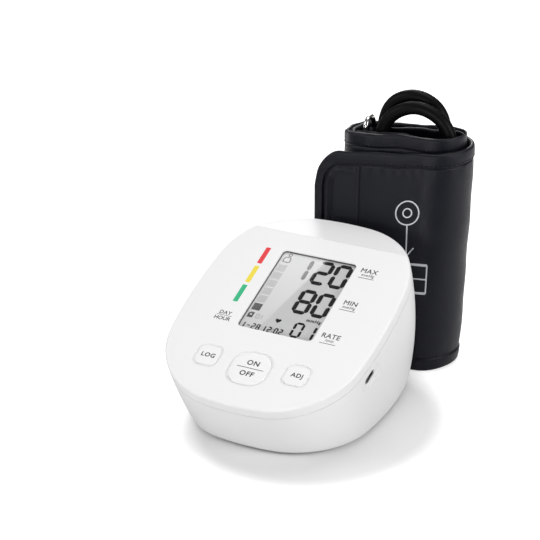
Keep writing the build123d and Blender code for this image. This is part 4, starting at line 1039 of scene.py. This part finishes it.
def strip_relief(length, drop, width, phase):
    """Height of the sewn work on the outer face: the hem is a folded binding that sinks sharply at its seam, the
    panel inside swells, and beside the free end a piped ridge runs round the corner to the cross seam."""
    hem = bpy.context.scene.cuff_cloth.hem / MM
    across = np.minimum(drop, width - drop)
    inner = rounded_distance(length, drop, FREE_HEM, hem, width - hem, 9.5)
    flap = np.clip((24.0 - length) / 1.0, 0, 1)
    seam = np.where(length < 30, inner, across - hem)
    beside = np.clip((FREE_HEM + 8.0 - length) / 8.0, 0, 1)
    relief = 0.35 * bump(seam + 3.2, 2.6) - (0.62 + 0.8 * beside) * bump(seam, 0.42 + 0.2 * beside)
    relief += 0.25 * bump(seam + 1.0, 0.45)
    relief += 0.60 * (1 - np.exp(-np.maximum(seam, 0) / 4.0))
    relief += 1.15 * bump(inner - 2.7, 0.95) * flap
    relief -= 0.35 * bump(inner - 4.6, 0.9) * flap
    inside = np.clip((across - hem) / 1.0, 0, 1)
    for place, depth in ((CROSS_SEAM, 0.55), (SIDE_SEAM, 0.7)):
        relief -= depth * bump(length - place, 0.45) * inside
        relief -= 0.20 * bump(length - place, 4.5) * inside
    ends = bump(seam - 2.0, 3.0) * inside
    relief += 0.16 * np.sin(length * 0.95 + 1.7 * np.sin(length * 0.11)) * ends
    panel = np.sin(length * 0.13 + drop * 0.045) * np.sin(drop * 0.07 - length * 0.03 + 1.0)
    folds = np.sin(drop * 0.21 + 2.2 * np.sin(length * 0.05)) * bump(length - SIDE_SEAM, 14.0)
    relief += (0.20 * panel + 0.16 * folds) * inside
    tight = np.clip((phase - 2.4) / 0.5, 0, 1)
    return relief * (1 - 0.5 * tight)


# The columns' steps in mm along the flap and beside its seams, and in phases on the outer and the inner turns.
FLAP_STEP, SEAM_STEP = 0.9, 0.3
OUTER_STEP, INNER_STEP, SIDE_SEAM_STEP = 0.03, 0.055, 0.007


def strip_columns():
    """Phases of the grid's columns: closest round the free corner and beside the seams, close on the outer turn and
    wider inside."""
    turn = np.linspace(0, math.pi / 2, 26)
    corner = FREE_CORNER * (1 - np.cos(turn))
    seams = [np.arange(FREE_HEM - 1.2, FREE_HEM + 6.0, SEAM_STEP), CROSS_SEAM + np.arange(-1.2, 1.3, SEAM_STEP)]
    flap = np.arange(FREE_CORNER + FLAP_STEP, ROLL_FLAT, FLAP_STEP)
    lengths = np.sort(np.concatenate([corner, flap, *seams]))
    first = FREE_PHASE + lengths[np.diff(lengths, prepend=-1.0) > 0.05] / ROLL_FLAT
    side = np.interp(SIDE_SEAM, *strip_run()) + np.arange(-0.035, 0.04, SIDE_SEAM_STEP)
    outer = np.arange(first[-1] + OUTER_STEP, 3.0, OUTER_STEP)
    outer = np.sort(np.concatenate([outer[np.abs(outer - side.mean()) > 0.045], side]))
    inner = np.arange(outer[-1] + INNER_STEP, LAST_PHASE - 0.1, INNER_STEP)
    last = np.linspace(LAST_PHASE - 0.08, LAST_PHASE, 7)
    return np.concatenate([first, outer, inner, last])


# The grid's rows in mm from the strip's edge, closest round the hem's seam, and the rows between the hems.
HEM_ROWS = (0, 0.06, 0.22, 0.5, 0.85, 1.3, 1.9, 2.7, 3.6, 4.5, 5.4, 6.2, 6.8, 7.2, 7.5, 7.8, 8.1, 8.4, 8.9,
            9.6, 10.5, 11.6, 13.0)
BETWEEN_ROWS = 46


class CUFF_OT_strip(bpy.types.Operator):
    """Rolls the cuff's cloth strip: one closed padded sheet along a spiral, with hems, seams and a folded free
    end."""

    bl_idname = "cuff.strip"
    bl_label = "Make the cuff's cloth"

    def execute(self, context):
        phases = strip_columns()
        length = strip_arrays(phases)[0]
        width = strip_width(phases)
        cut = np.where(
            length < FREE_CORNER,
            FREE_CORNER - np.sqrt(np.clip(FREE_CORNER**2 - (FREE_CORNER - length) ** 2, 0, None)), 0.0)
        near = np.array(HEM_ROWS)
        middle = np.linspace(0, 1, BETWEEN_ROWS)[1:-1]
        upper = cut[:, None] + near[None, :]
        lower = (width - cut)[:, None] - near[None, ::-1]
        between = upper[:, -1:] + (lower[:, :1] - upper[:, -1:]) * middle[None, :]
        drop = np.concatenate([upper, between, lower], 1)
        spread = np.repeat(phases[:, None], drop.shape[1], 1)
        outer, run, _ = strip_surface(spread, drop, 1)
        inner, _, _ = strip_surface(spread, drop, -1)
        loop = np.concatenate([outer, inner[:, -2:0:-1]], 1)
        map_u = np.concatenate([run, run[:, -2:0:-1]], 1) * MM
        map_v = np.concatenate([drop, drop[:, -2:0:-1]], 1) * MM
        faces = grid_faces(loop.shape[0], loop.shape[1], closed_columns=True)
        made = piece("cuff_cloth_strip", on_cuff(loop), faces, "cuff", finishes["cloth"],
                     uv=np.stack([map_u, map_v], -1))
        weld(made, 2e-6)
        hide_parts("cuff_outer_wrap", "cuff_inner_roll")
        return {"FINISHED"}


def thread_capsules(middles, along, outward, length, radius, sink):
    """Points and faces of capsules at points: rings of six round a stretched ball, carried by each stitch's own
    directions."""
    across = np.cross(along, outward)
    across /= np.linalg.norm(across, axis=-1)[:, None]
    out = np.cross(across, along)
    stations = np.array([-1.0, -0.8, -0.35, 0.35, 0.8, 1.0])
    girth = np.array([0.12, 0.72, 1.0, 1.0, 0.72, 0.12])
    arch = np.array([-0.75, -0.25, 0.1, 0.1, -0.25, -0.75])
    turn = np.linspace(0, 2 * math.pi, 6, endpoint=False)
    sideways = girth[:, None] * np.cos(turn) * radius
    upwards = girth[:, None] * np.sin(turn) * radius + arch[:, None] * radius - sink
    shape = (
        along[:, None, None] * (stations * length / 2)[None, :, None, None]
        + across[:, None, None] * sideways[None, :, :, None]
        + out[:, None, None] * upwards[None, :, :, None]
    )
    points = middles[:, None, None] + shape
    base = grid_faces(len(stations), len(turn), closed_columns=True)
    first = np.arange(len(middles)) * len(stations) * len(turn)
    return points.reshape(-1, 3), (base[None] + first[:, None, None]).reshape(-1, 4)


# How far the rows of stitches lie from the hem's seam towards the cloth's edge, where the upper and the lower row
# end, the thread's radius and how far it is sunk into the cloth.
STITCH_INSET = 1.4
UPPER_ROW_END, LOWER_ROW_END = 330.0, 190.0
THREAD_RADIUS, THREAD_SINK = 0.21, 0.03


class CUFF_OT_stitches(bpy.types.Operator):
    """Sews the hems, the cross seam and the side seam with separate stitches."""

    bl_idname = "cuff.stitches"
    bl_label = "Make the stitches"

    def execute(self, context):
        cuff = context.scene.cuff_cloth
        hem, pitch = cuff.hem / MM, cuff.stitch_pitch / MM
        run, fine = strip_run()
        inset = hem - STITCH_INSET
        # Each row: phases, drops and the small step in both that leads along the row.
        rows = []
        for from_top, end in ((True, UPPER_ROW_END), (False, LOWER_ROW_END)):
            lengths = np.arange(FREE_CORNER, end, pitch)
            phases = np.interp(lengths, run, fine)
            drops = np.full(len(phases), inset) if from_top else strip_width(phases) - inset
            rows.append((phases, drops, (0.01, 0.0)))
        for place in (CROSS_SEAM, SIDE_SEAM):
            drops = np.arange(hem + 1.0, CLOTH_WIDTH - hem - 6.0, pitch)
            rows.append((np.full(len(drops), np.interp(place, run, fine)), drops, (0.0, 0.3)))
        middles, directions, outs = [], [], []
        for phases, drops, step in rows:
            here, _, outward = strip_surface(phases, drops, 1)
            other, _, _ = strip_surface(phases + step[0], drops + step[1], 1)
            middles.append(here)
            directions.append(other - here)
            outs.append(outward)
        middles, along, outs = (np.concatenate(group) for group in (middles, directions, outs))
        along /= np.linalg.norm(along, axis=1)[:, None]
        points, faces = thread_capsules(middles, along, outs, cuff.stitch / MM, THREAD_RADIUS, THREAD_SINK)
        made = piece("cuff_stitches", on_cuff(points), faces, "cuff", finishes["thread"])
        weld(made, 1e-7)
        return {"FINISHED"}


# The lining's layers: first and last phase, and how far each lies inside the strip's middle.
LINING_LAYERS = ((3.25, 5.1, 2.0), (3.35, 4.9, 2.9), (3.5, 4.75, 3.8))
# A layer's outline across its edge: how far below the edge and how far out.
LINING_SECTION = ((4.0, 0.16), (0.3, 0.16), (0.0, 0.08), (0.0, -0.08), (0.3, -0.16), (4.0, -0.16))
LINING_DEPTH = 4.0
LINING_COLUMNS = 90


class CUFF_OT_layers(bpy.types.Operator):
    """Lets the crinkled edges of the lining and the bladder's cloth show between the inner turns, at their left
    end."""

    bl_idname = "cuff.layers"
    bl_label = "Make the lining's edges"

    def execute(self, context):
        points, faces = [], []
        for layer, (start, end, inset) in enumerate(LINING_LAYERS):
            phase = np.linspace(start, end, LINING_COLUMNS)
            _, middle, outward = strip_arrays(phase)
            ends = np.sin(np.linspace(0, math.pi, LINING_COLUMNS)) ** 0.5
            crinkle = np.sin(phase * 17.0 + layer * 2.1) + 0.6 * np.sin(phase * 41.0 + layer)
            top = strip_top(phase) - 1.2 + ends * (1.0 + 0.15 * layer) + 0.16 * crinkle
            rows = []
            for down, out in LINING_SECTION:
                sway = 0.22 * crinkle * (1 - down / LINING_DEPTH)
                flat = middle + outward * (out - inset + sway)[:, None]
                rows.append(np.column_stack([flat, top - down]))
            loop = np.stack(rows, 1)
            count = loop.shape[0] * loop.shape[1]
            faces.append(grid_faces(*loop.shape[:2], closed_columns=True) + count * layer)
            points.append(loop.reshape(-1, 3))
        points = np.concatenate(points)
        uv = np.stack([points[:, 0], points[:, 2]], -1) * MM
        piece("cuff_lining_edges", on_cuff(points), np.concatenate(faces), "cuff", finishes["cloth"],
              uv=uv)
        return {"FINISHED"}


# The mark's circles: how far their middle lies below the strip's upper edge, their radii and the line's width.
MARK_DROP, MARK_RADII, MARK_LINE = 34.0, (7.0, 2.6), 0.8
# Its straight lines: from and to (along the strip, below its upper edge) and width. An arrow, then the box.
MARK_LINES = (
    (0, 41.0, 0, 60.0, 0.8), (-4.6, 54.6, 0, 60.0, 0.8), (4.6, 54.6, 0, 60.0, 0.8),
    (-13.0, 64.5, 13.0, 64.5, 1.5), (-13.0, 73.0, 13.0, 73.0, 0.8), (-13.0, 81.5, 13.0, 81.5, 1.5),
    (-13.0, 64.5, -13.0, 81.5, 0.8), (13.0, 64.5, 13.0, 81.5, 0.8),
)
MARK_RISE = 0.05


class CUFF_OT_mark(bpy.types.Operator):
    """Prints a plain placing mark on the flap: two circles and an arrow that points down into a box of range
    lines."""

    bl_idname = "cuff.mark"
    bl_label = "Make the cuff's mark"

    def execute(self, context):
        t = np.linspace(0, 1, 30)
        turn = np.linspace(0, 2 * math.pi, 61)
        lines = []
        for radius in MARK_RADII:
            circle = [MARK_PLACE + radius * np.sin(turn), MARK_DROP - radius * np.cos(turn)]
            lines.append((np.stack(circle, -1), MARK_LINE))
        for x0, y0, x1, y1, width in MARK_LINES:
            lines.append((np.stack([MARK_PLACE + x0 + (x1 - x0) * t, y0 + (y1 - y0) * t], -1), width))
        run, fine = strip_run()
        points, faces, first = [], [], 0
        for line, width in lines:
            along = np.gradient(line, axis=0)
            along /= np.linalg.norm(along, axis=1)[:, None]
            across = np.stack([-along[:, 1], along[:, 0]], -1) * width / 2
            edges = np.stack([line - across, line, line + across], 1)
            phases = np.interp(edges[..., 0], run, fine)
            place, _, out = strip_surface(phases, edges[..., 1], 1)
            ring = np.concatenate([place + out * MARK_RISE, (place - out * MARK_RISE)[:, ::-1]], 1)
            points.append(ring.reshape(-1, 3))
            faces.append(grid_faces(*ring.shape[:2], closed_columns=True) + first)
            first += ring.shape[0] * ring.shape[1]
        piece("cuff_placing_mark", on_cuff(np.concatenate(points)), np.concatenate(faces), "cuff",
              finishes["mark"])
        return {"FINISHED"}


# The places that the hose's curve is drawn towards, from its port to its plug.
HOSE_ROUTE = (
    (-13, 4.6, 22), (-13, 4.6, 50), (-13.8, 4.4, 83), (-14.6, 4.3, 116), (-14.8, 4.3, 146.2),
    (3.7, 4.3, 156.4), (22.2, 4.3, 146), (21.6, 4.4, 114), (20.6, 4.4, 82), (19.9, 4.3, 50), (19.5, 4.2, 19),
    (3.2, 0, 8.6), (-13, -4.3, 19), (-13.8, -4.4, 49), (-14.2, -4.4, 80), (-13.9, -4.3, 111), (-13, -4.2, 141),
    (7.9, -3.7, 152.9), (28.6, -3.1, 140.8), (27.8, -3.1, 113), (26, -3, 93), (26, -3, 74),
)


class CUFF_OT_hose(bpy.types.Operator):
    """Runs the air hose from its port up over the roll and down to its plug as one smooth curve."""

    bl_idname = "cuff.hose"
    bl_label = "Make the air hose"

    def execute(self, context):
        diameter = context.scene.cuff_cloth.hose_diameter
        route = on_cuff(np.array(HOSE_ROUTE, float))
        curve = bpy.data.curves.new("air_hose_run", "CURVE")
        curve.dimensions = "3D"
        spline = curve.splines.new("NURBS")
        spline.points.add(len(route) - 1)
        spline.points.foreach_set("co", np.column_stack([route, np.ones(len(route))]).ravel())
        spline.order_u = 3
        spline.use_endpoint_u = True
        spline.resolution_u = 14
        curve.bevel_depth = diameter / 2
        curve.bevel_resolution = 9
        curve.use_fill_caps = True
        curve.materials.append(finishes["hose"])
        made = bpy.data.objects.new("air_hose_run", curve)
        context.scene.collection.objects.link(made)
        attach(made, "cuff")
        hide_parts("air_hose")
        return {"FINISHED"}


# The sleeve in metres: its radius, how far its ends lie inside the solid's, and its length round for the weave.
SLEEVE_RADIUS, SLEEVE_INSET, SLEEVE_ROUND = 0.0024, 0.0002, 0.015
SLEEVE_RINGS, SLEEVE_SIDES = 60, 20


class CUFF_OT_ring(bpy.types.Operator):
    """Finishes the wire ring, the sleeve that holds it and the hook patch."""

    bl_idname = "cuff.ring"
    bl_label = "Make the ring and its sleeve"

    def execute(self, context):
        smooth_copy("metal_ring", finishes["ring"], 40)
        low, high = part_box("ring_loop")
        heights = np.linspace(low.z + SLEEVE_INSET, high.z - SLEEVE_INSET, SLEEVE_RINGS)
        middle = [(low.x + high.x) / 2, (low.y + high.y) / 2]
        path = np.column_stack([np.full((SLEEVE_RINGS, 2), middle), heights])
        ends = np.minimum(np.arange(SLEEVE_RINGS), np.arange(SLEEVE_RINGS)[::-1])
        radius = SLEEVE_RADIUS * np.sqrt(np.clip(1 - (1 - np.minimum(ends / 2.0, 1)) ** 2, 0.02, 1))
        points = tube(path, radius, SLEEVE_SIDES)
        run = np.repeat(heights[:, None], SLEEVE_SIDES, 1)
        around = np.repeat(np.linspace(0, SLEEVE_ROUND, SLEEVE_SIDES)[None], SLEEVE_RINGS, 0)
        made = piece("ring_sleeve", points, grid_faces(SLEEVE_RINGS, SLEEVE_SIDES, closed_columns=True), "cuff",
                     finishes["cloth"], uv=np.stack([run, around], -1))
        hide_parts("ring_loop")
        hook_patch()
        return {"FINISHED"}


# The hook patch: its left and right end, its foot and its head, how far in front of the roll's middle it lies, half
# its thickness, and the width over which its edge is rounded.
HOOK_LEFT, HOOK_RIGHT = -34.0, 12.0
HOOK_FOOT, HOOK_HEAD = 17.0, 113.0
HOOK_FRONT, HOOK_HALF, HOOK_EDGE = 17.85, 0.45, 0.8


def hook_patch():
    """The hook patch sewn inside the flap: a thin plate with rounded edges along the cuff's long side."""
    u = np.linspace(HOOK_LEFT, HOOK_RIGHT, 93)
    z = np.linspace(HOOK_FOOT, HOOK_HEAD, 97)
    grid_u, grid_z = np.meshgrid(u, z, indexing="ij")
    edge = np.minimum(np.minimum(grid_u - u[0], u[-1] - grid_u), np.minimum(grid_z - z[0], z[-1] - grid_z))
    half = HOOK_HALF * np.sqrt(np.clip(1 - (1 - np.minimum(edge / HOOK_EDGE, 1)) ** 2, 0, 1))
    front = np.stack([grid_u, -HOOK_FRONT - half, grid_z], -1)
    back = np.stack([grid_u, -HOOK_FRONT + half, grid_z], -1)
    loop = np.concatenate([front, back[:, -2:0:-1]], 1)
    run = np.stack([grid_u, grid_z], -1) * MM
    uv = np.concatenate([run, run[:, -2:0:-1]], 1)
    made = piece("hook_tape_patch", on_cuff(loop), grid_faces(*loop.shape[:2], closed_columns=True), "cuff",
                 finishes["hook"], uv=uv)
    weld(made, 1e-7)
    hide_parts("hook_patch")


# ---------------------------------------------------------------- stage
# The ellipse on the floor in which the shadows show: its middle and its reach in metres.
POOL_MIDDLE, POOL_REACH = (0.020, -0.032, 0.0), (0.060, 0.070, 1.0)
FLOOR_HALF, FLOOR_LEVEL = 3.0, -0.0002

# The soft boxes: name, place, target, size and power.
SOFT_BOXES = (
    ("top_box", (0.05, 0.36, 1.45), (0.0, 0.0, 0.05), 0.8, 7.3),
    ("left_box", (-1.1, -0.8, 0.8), (0.0, 0.0, 0.05), 0.7, 5.8),
    ("right_box", (1.2, -0.1, 0.6), (0.02, 0.03, 0.1), 0.6, 7.2),
    ("front_box", (0.1, -1.4, 0.16), (0.0, 0.0, 0.06), 0.5, 7.8),
    ("back_box", (-0.6, 1.2, 0.75), (0.0, 0.0, 0.06), 0.6, 5.0),
)

# The card that the window mirrors: its height, the ends of its sharp edge, its size, and the depth of its fade.
GLARE_HEIGHT = 1.2
GLARE_EDGE = ((-0.536, 0.330), (-0.583, 0.251))
GLARE_WIDTH, GLARE_LENGTH, GLARE_FADE = 0.18, 0.40, 0.06


class MONITOR_OT_stage(bpy.types.Operator):
    """Sets the pale floor, the soft lights and the camera."""

    bl_idname = "monitor.stage"
    bl_label = "Set the stage"

    def execute(self, context):
        scene = context.scene
        scene.view_settings.view_transform = "Standard"
        self.floor(scene)
        self.world(scene)
        self.lamps(scene)
        self.window_card(scene)
        self.camera(scene)
        return {"FINISHED"}

    def floor(self, scene):
        """A pale floor that shows the shadows near the monitor, fades to full white for the camera beyond them and
        is clear from below. In reflections it is painted dark at the front and full white behind, and the light it
        bounces is painted a little darker than it looks, so that the dark cloth's reflections stay dark."""
        corners = ((-1, -1), (1, -1), (1, 1), (-1, 1))
        points = [(FLOOR_HALF * x, FLOOR_HALF * y, FLOOR_LEVEL) for x, y in corners]
        mesh = bpy.data.meshes.new("floor")
        mesh.from_pydata(points, [], [[0, 1, 2, 3]])
        made = bpy.data.objects.new("floor", mesh)
        scene.collection.objects.link(made)
        finish = bpy.data.materials.new("floor paper")
        finish.use_nodes = True
        tree = finish.node_tree
        shader = tree.nodes["Principled BSDF"]
        shader.inputs["Roughness"].default_value = 0.9
        shader.inputs["Specular IOR Level"].default_value = 0.0
        path = tree.nodes.new("ShaderNodeLightPath")
        place = tree.nodes.new("ShaderNodeTexCoord")
        split = tree.nodes.new("ShaderNodeSeparateXYZ")
        mirrored = tree.nodes.new("ShaderNodeMapRange")
        mirrored.inputs["From Min"].default_value = -0.15
        mirrored.inputs["From Max"].default_value = 0.12
        mirrored.inputs["To Min"].default_value = 0.24
        mirrored.inputs["To Max"].default_value = 1.0
        tint = tree.nodes.new("ShaderNodeMix")
        tree.links.new(place.outputs["Object"], split.inputs[0])
        tree.links.new(split.outputs[1], mirrored.inputs["Value"])
        # Painted reflection and bounce: glossy rays see the floor dark at the front, diffuse rays a little darker
        # than the camera does.
        tree.links.new(path.outputs["Is Glossy Ray"], tint.inputs[0])
        dimmed = maths(tree, "MULTIPLY", path.outputs["Is Diffuse Ray"], -0.17)
        tree.links.new(maths(tree, "ADD", dimmed, 0.85), tint.inputs[2])
        tree.links.new(mirrored.outputs["Result"], tint.inputs[3])
        tree.links.new(tint.outputs[0], shader.inputs["Base Color"])
        across = place.outputs["Object"]
        for operation, value in (("SUBTRACT", POOL_MIDDLE), ("DIVIDE", POOL_REACH), ("LENGTH", None)):
            away = tree.nodes.new("ShaderNodeVectorMath")
            away.operation = operation
            tree.links.new(across, away.inputs[0])
            if value:
                away.inputs[1].default_value = value
            across = away.outputs[0]
        fade = tree.nodes.new("ShaderNodeMapRange")
        fade.interpolation_type = "SMOOTHSTEP"
        fade.inputs["From Min"].default_value = 0.94
        fade.inputs["From Max"].default_value = 1.30
        fade.inputs["To Max"].default_value = 0.6
        tree.links.new(away.outputs["Value"], fade.inputs["Value"])
        shader.inputs["Emission Color"].default_value = (1, 1, 1, 1)
        tree.links.new(maths(tree, "MULTIPLY", fade.outputs["Result"], path.outputs["Is Camera Ray"]),
                       shader.inputs["Emission Strength"])
        clear = tree.nodes.new("ShaderNodeBsdfTransparent")
        facing = tree.nodes.new("ShaderNodeNewGeometry")
        mix = tree.nodes.new("ShaderNodeMixShader")
        tree.links.new(facing.outputs["Backfacing"], mix.inputs[0])
        tree.links.new(shader.outputs[0], mix.inputs[1])
        tree.links.new(clear.outputs[0], mix.inputs[2])
        tree.links.new(mix.outputs[0], tree.nodes["Material Output"].inputs["Surface"])
        mesh.materials.append(finish)

    def world(self, scene):
        """An even pale surround, white for the camera and darker in reflections, so that dark cloth stays dark."""
        world = bpy.data.worlds.new("surround")
        world.use_nodes = True
        scene.world = world
        tree = world.node_tree
        back = tree.nodes["Background"]
        path = tree.nodes.new("ShaderNodeLightPath")
        back.inputs["Color"].default_value = (1, 1, 1, 1)
        strength = maths(tree, "ADD", maths(tree, "MULTIPLY", path.outputs["Is Glossy Ray"], -0.14), 0.30)
        strength = maths(tree, "MAXIMUM", strength, path.outputs["Is Camera Ray"])
        tree.links.new(strength, back.inputs["Strength"])

    def lamps(self, scene):
        """Square soft boxes that face their targets."""
        for name, place, target, size, power in SOFT_BOXES:
            light = bpy.data.lights.new(name, "AREA")
            light.shape = "SQUARE"
            light.size = size
            light.energy = power
            lamp = bpy.data.objects.new(name, light)
            lamp.location = place
            away = np.array(place) - np.array(target)
            lamp.rotation_mode = "QUATERNION"
            lamp.rotation_quaternion = Vector(-away).to_track_quat("-Z", "Y")
            scene.collection.objects.link(lamp)

    def window_card(self, scene):
        """A lit card over the panel that its clear window mirrors as a pale slanting patch with one sharp edge."""
        light = bpy.data.lights.new("window_card", "AREA")
        light.shape = "RECTANGLE"
        light.size, light.size_y = GLARE_WIDTH, GLARE_LENGTH
        light.energy = 2.5 * math.pi * GLARE_WIDTH * GLARE_LENGTH
        light.use_nodes = True
        tree = light.node_tree
        place = tree.nodes.new("ShaderNodeNewGeometry")
        split = tree.nodes.new("ShaderNodeSeparateXYZ")
        fade = tree.nodes.new("ShaderNodeMapRange")
        fade.inputs["From Min"].default_value = GLARE_EDGE[1][1] - GLARE_FADE
        fade.inputs["From Max"].default_value = GLARE_EDGE[0][1]
        tree.links.new(place.outputs["Position"], split.inputs[0])
        tree.links.new(split.outputs[1], fade.inputs["Value"])
        tree.links.new(fade.outputs["Result"], tree.nodes["Emission"].inputs["Strength"])
        lamp = bpy.data.objects.new("window_card", light)
        start, end = np.array(GLARE_EDGE[0]), np.array(GLARE_EDGE[1])
        along = (start - end) / np.linalg.norm(start - end)
        inward = np.array([-along[1], along[0]])
        lamp.location = (*((start + end) / 2 + inward * GLARE_WIDTH / 2), GLARE_HEIGHT)
        lamp.rotation_euler = (0, 0, math.atan2(inward[1], inward[0]))
        scene.collection.objects.link(lamp)

    def camera(self, scene):
        """The camera at its place, from its right, up and back directions."""
        data = bpy.data.cameras.new("camera")
        data.lens = 133.33
        data.sensor_width = 36.0
        made = bpy.data.objects.new("camera", data)
        right = (0.8760865, 0.48215397, 0.0)
        up = (-0.18451234, 0.33526379, 0.92387953)
        back = (0.44545219, -0.80939838, 0.38268343)
        place = (0.462144, -0.888631, 0.487400)
        rows = [[right[k], up[k], back[k], place[k]] for k in range(3)] + [[0, 0, 0, 1]]
        made.matrix_world = Matrix(rows)
        scene.collection.objects.link(made)
        scene.camera = made


class MONITOR_PT_panel(bpy.types.Panel):
    """Lists the settings and the steps in the sidebar."""

    bl_idname = "MONITOR_PT_panel"
    bl_label = "Blood pressure monitor"
    bl_space_type = "VIEW_3D"
    bl_region_type = "UI"
    bl_category = "Monitor"

    def draw(self, context):
        for settings in SETTINGS:
            box = self.layout.box()
            group = getattr(context.scene, settings)
            for name in group.__annotations__:
                box.prop(group, name)
        for step in STEPS:
            self.layout.operator(step.bl_idname)


SETTINGS = {"monitor_colours": MonitorColours, "display_contents": DisplayContents, "cuff_cloth": CuffCloth}
STEPS = (
    MONITOR_OT_stage, CUFF_OT_hose, MONITOR_OT_mouldings, MONITOR_OT_button_skirts, MONITOR_OT_inner_pieces,
    MONITOR_OT_display, MONITOR_OT_prints, CUFF_OT_strip, CUFF_OT_stitches, CUFF_OT_layers, CUFF_OT_mark,
    CUFF_OT_ring,
)
CLASSES = tuple(SETTINGS.values()) + STEPS + (MONITOR_PT_panel,)


def register():
    """Adds the classes and hangs the settings on the scene."""
    for item in CLASSES:
        bpy.utils.register_class(item)
    for name, group in SETTINGS.items():
        setattr(bpy.types.Scene, name, bpy.props.PointerProperty(type=group))


def unregister():
    """Takes everything out again."""
    for name in SETTINGS:
        delattr(bpy.types.Scene, name)
    for item in reversed(CLASSES):
        bpy.utils.unregister_class(item)


def main():
    """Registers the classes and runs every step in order."""
    register()
    mix_finishes()
    for step in STEPS:
        group, name = step.bl_idname.split(".")
        getattr(getattr(bpy.ops, group), name)()


if __name__ == "__main__":
    main()
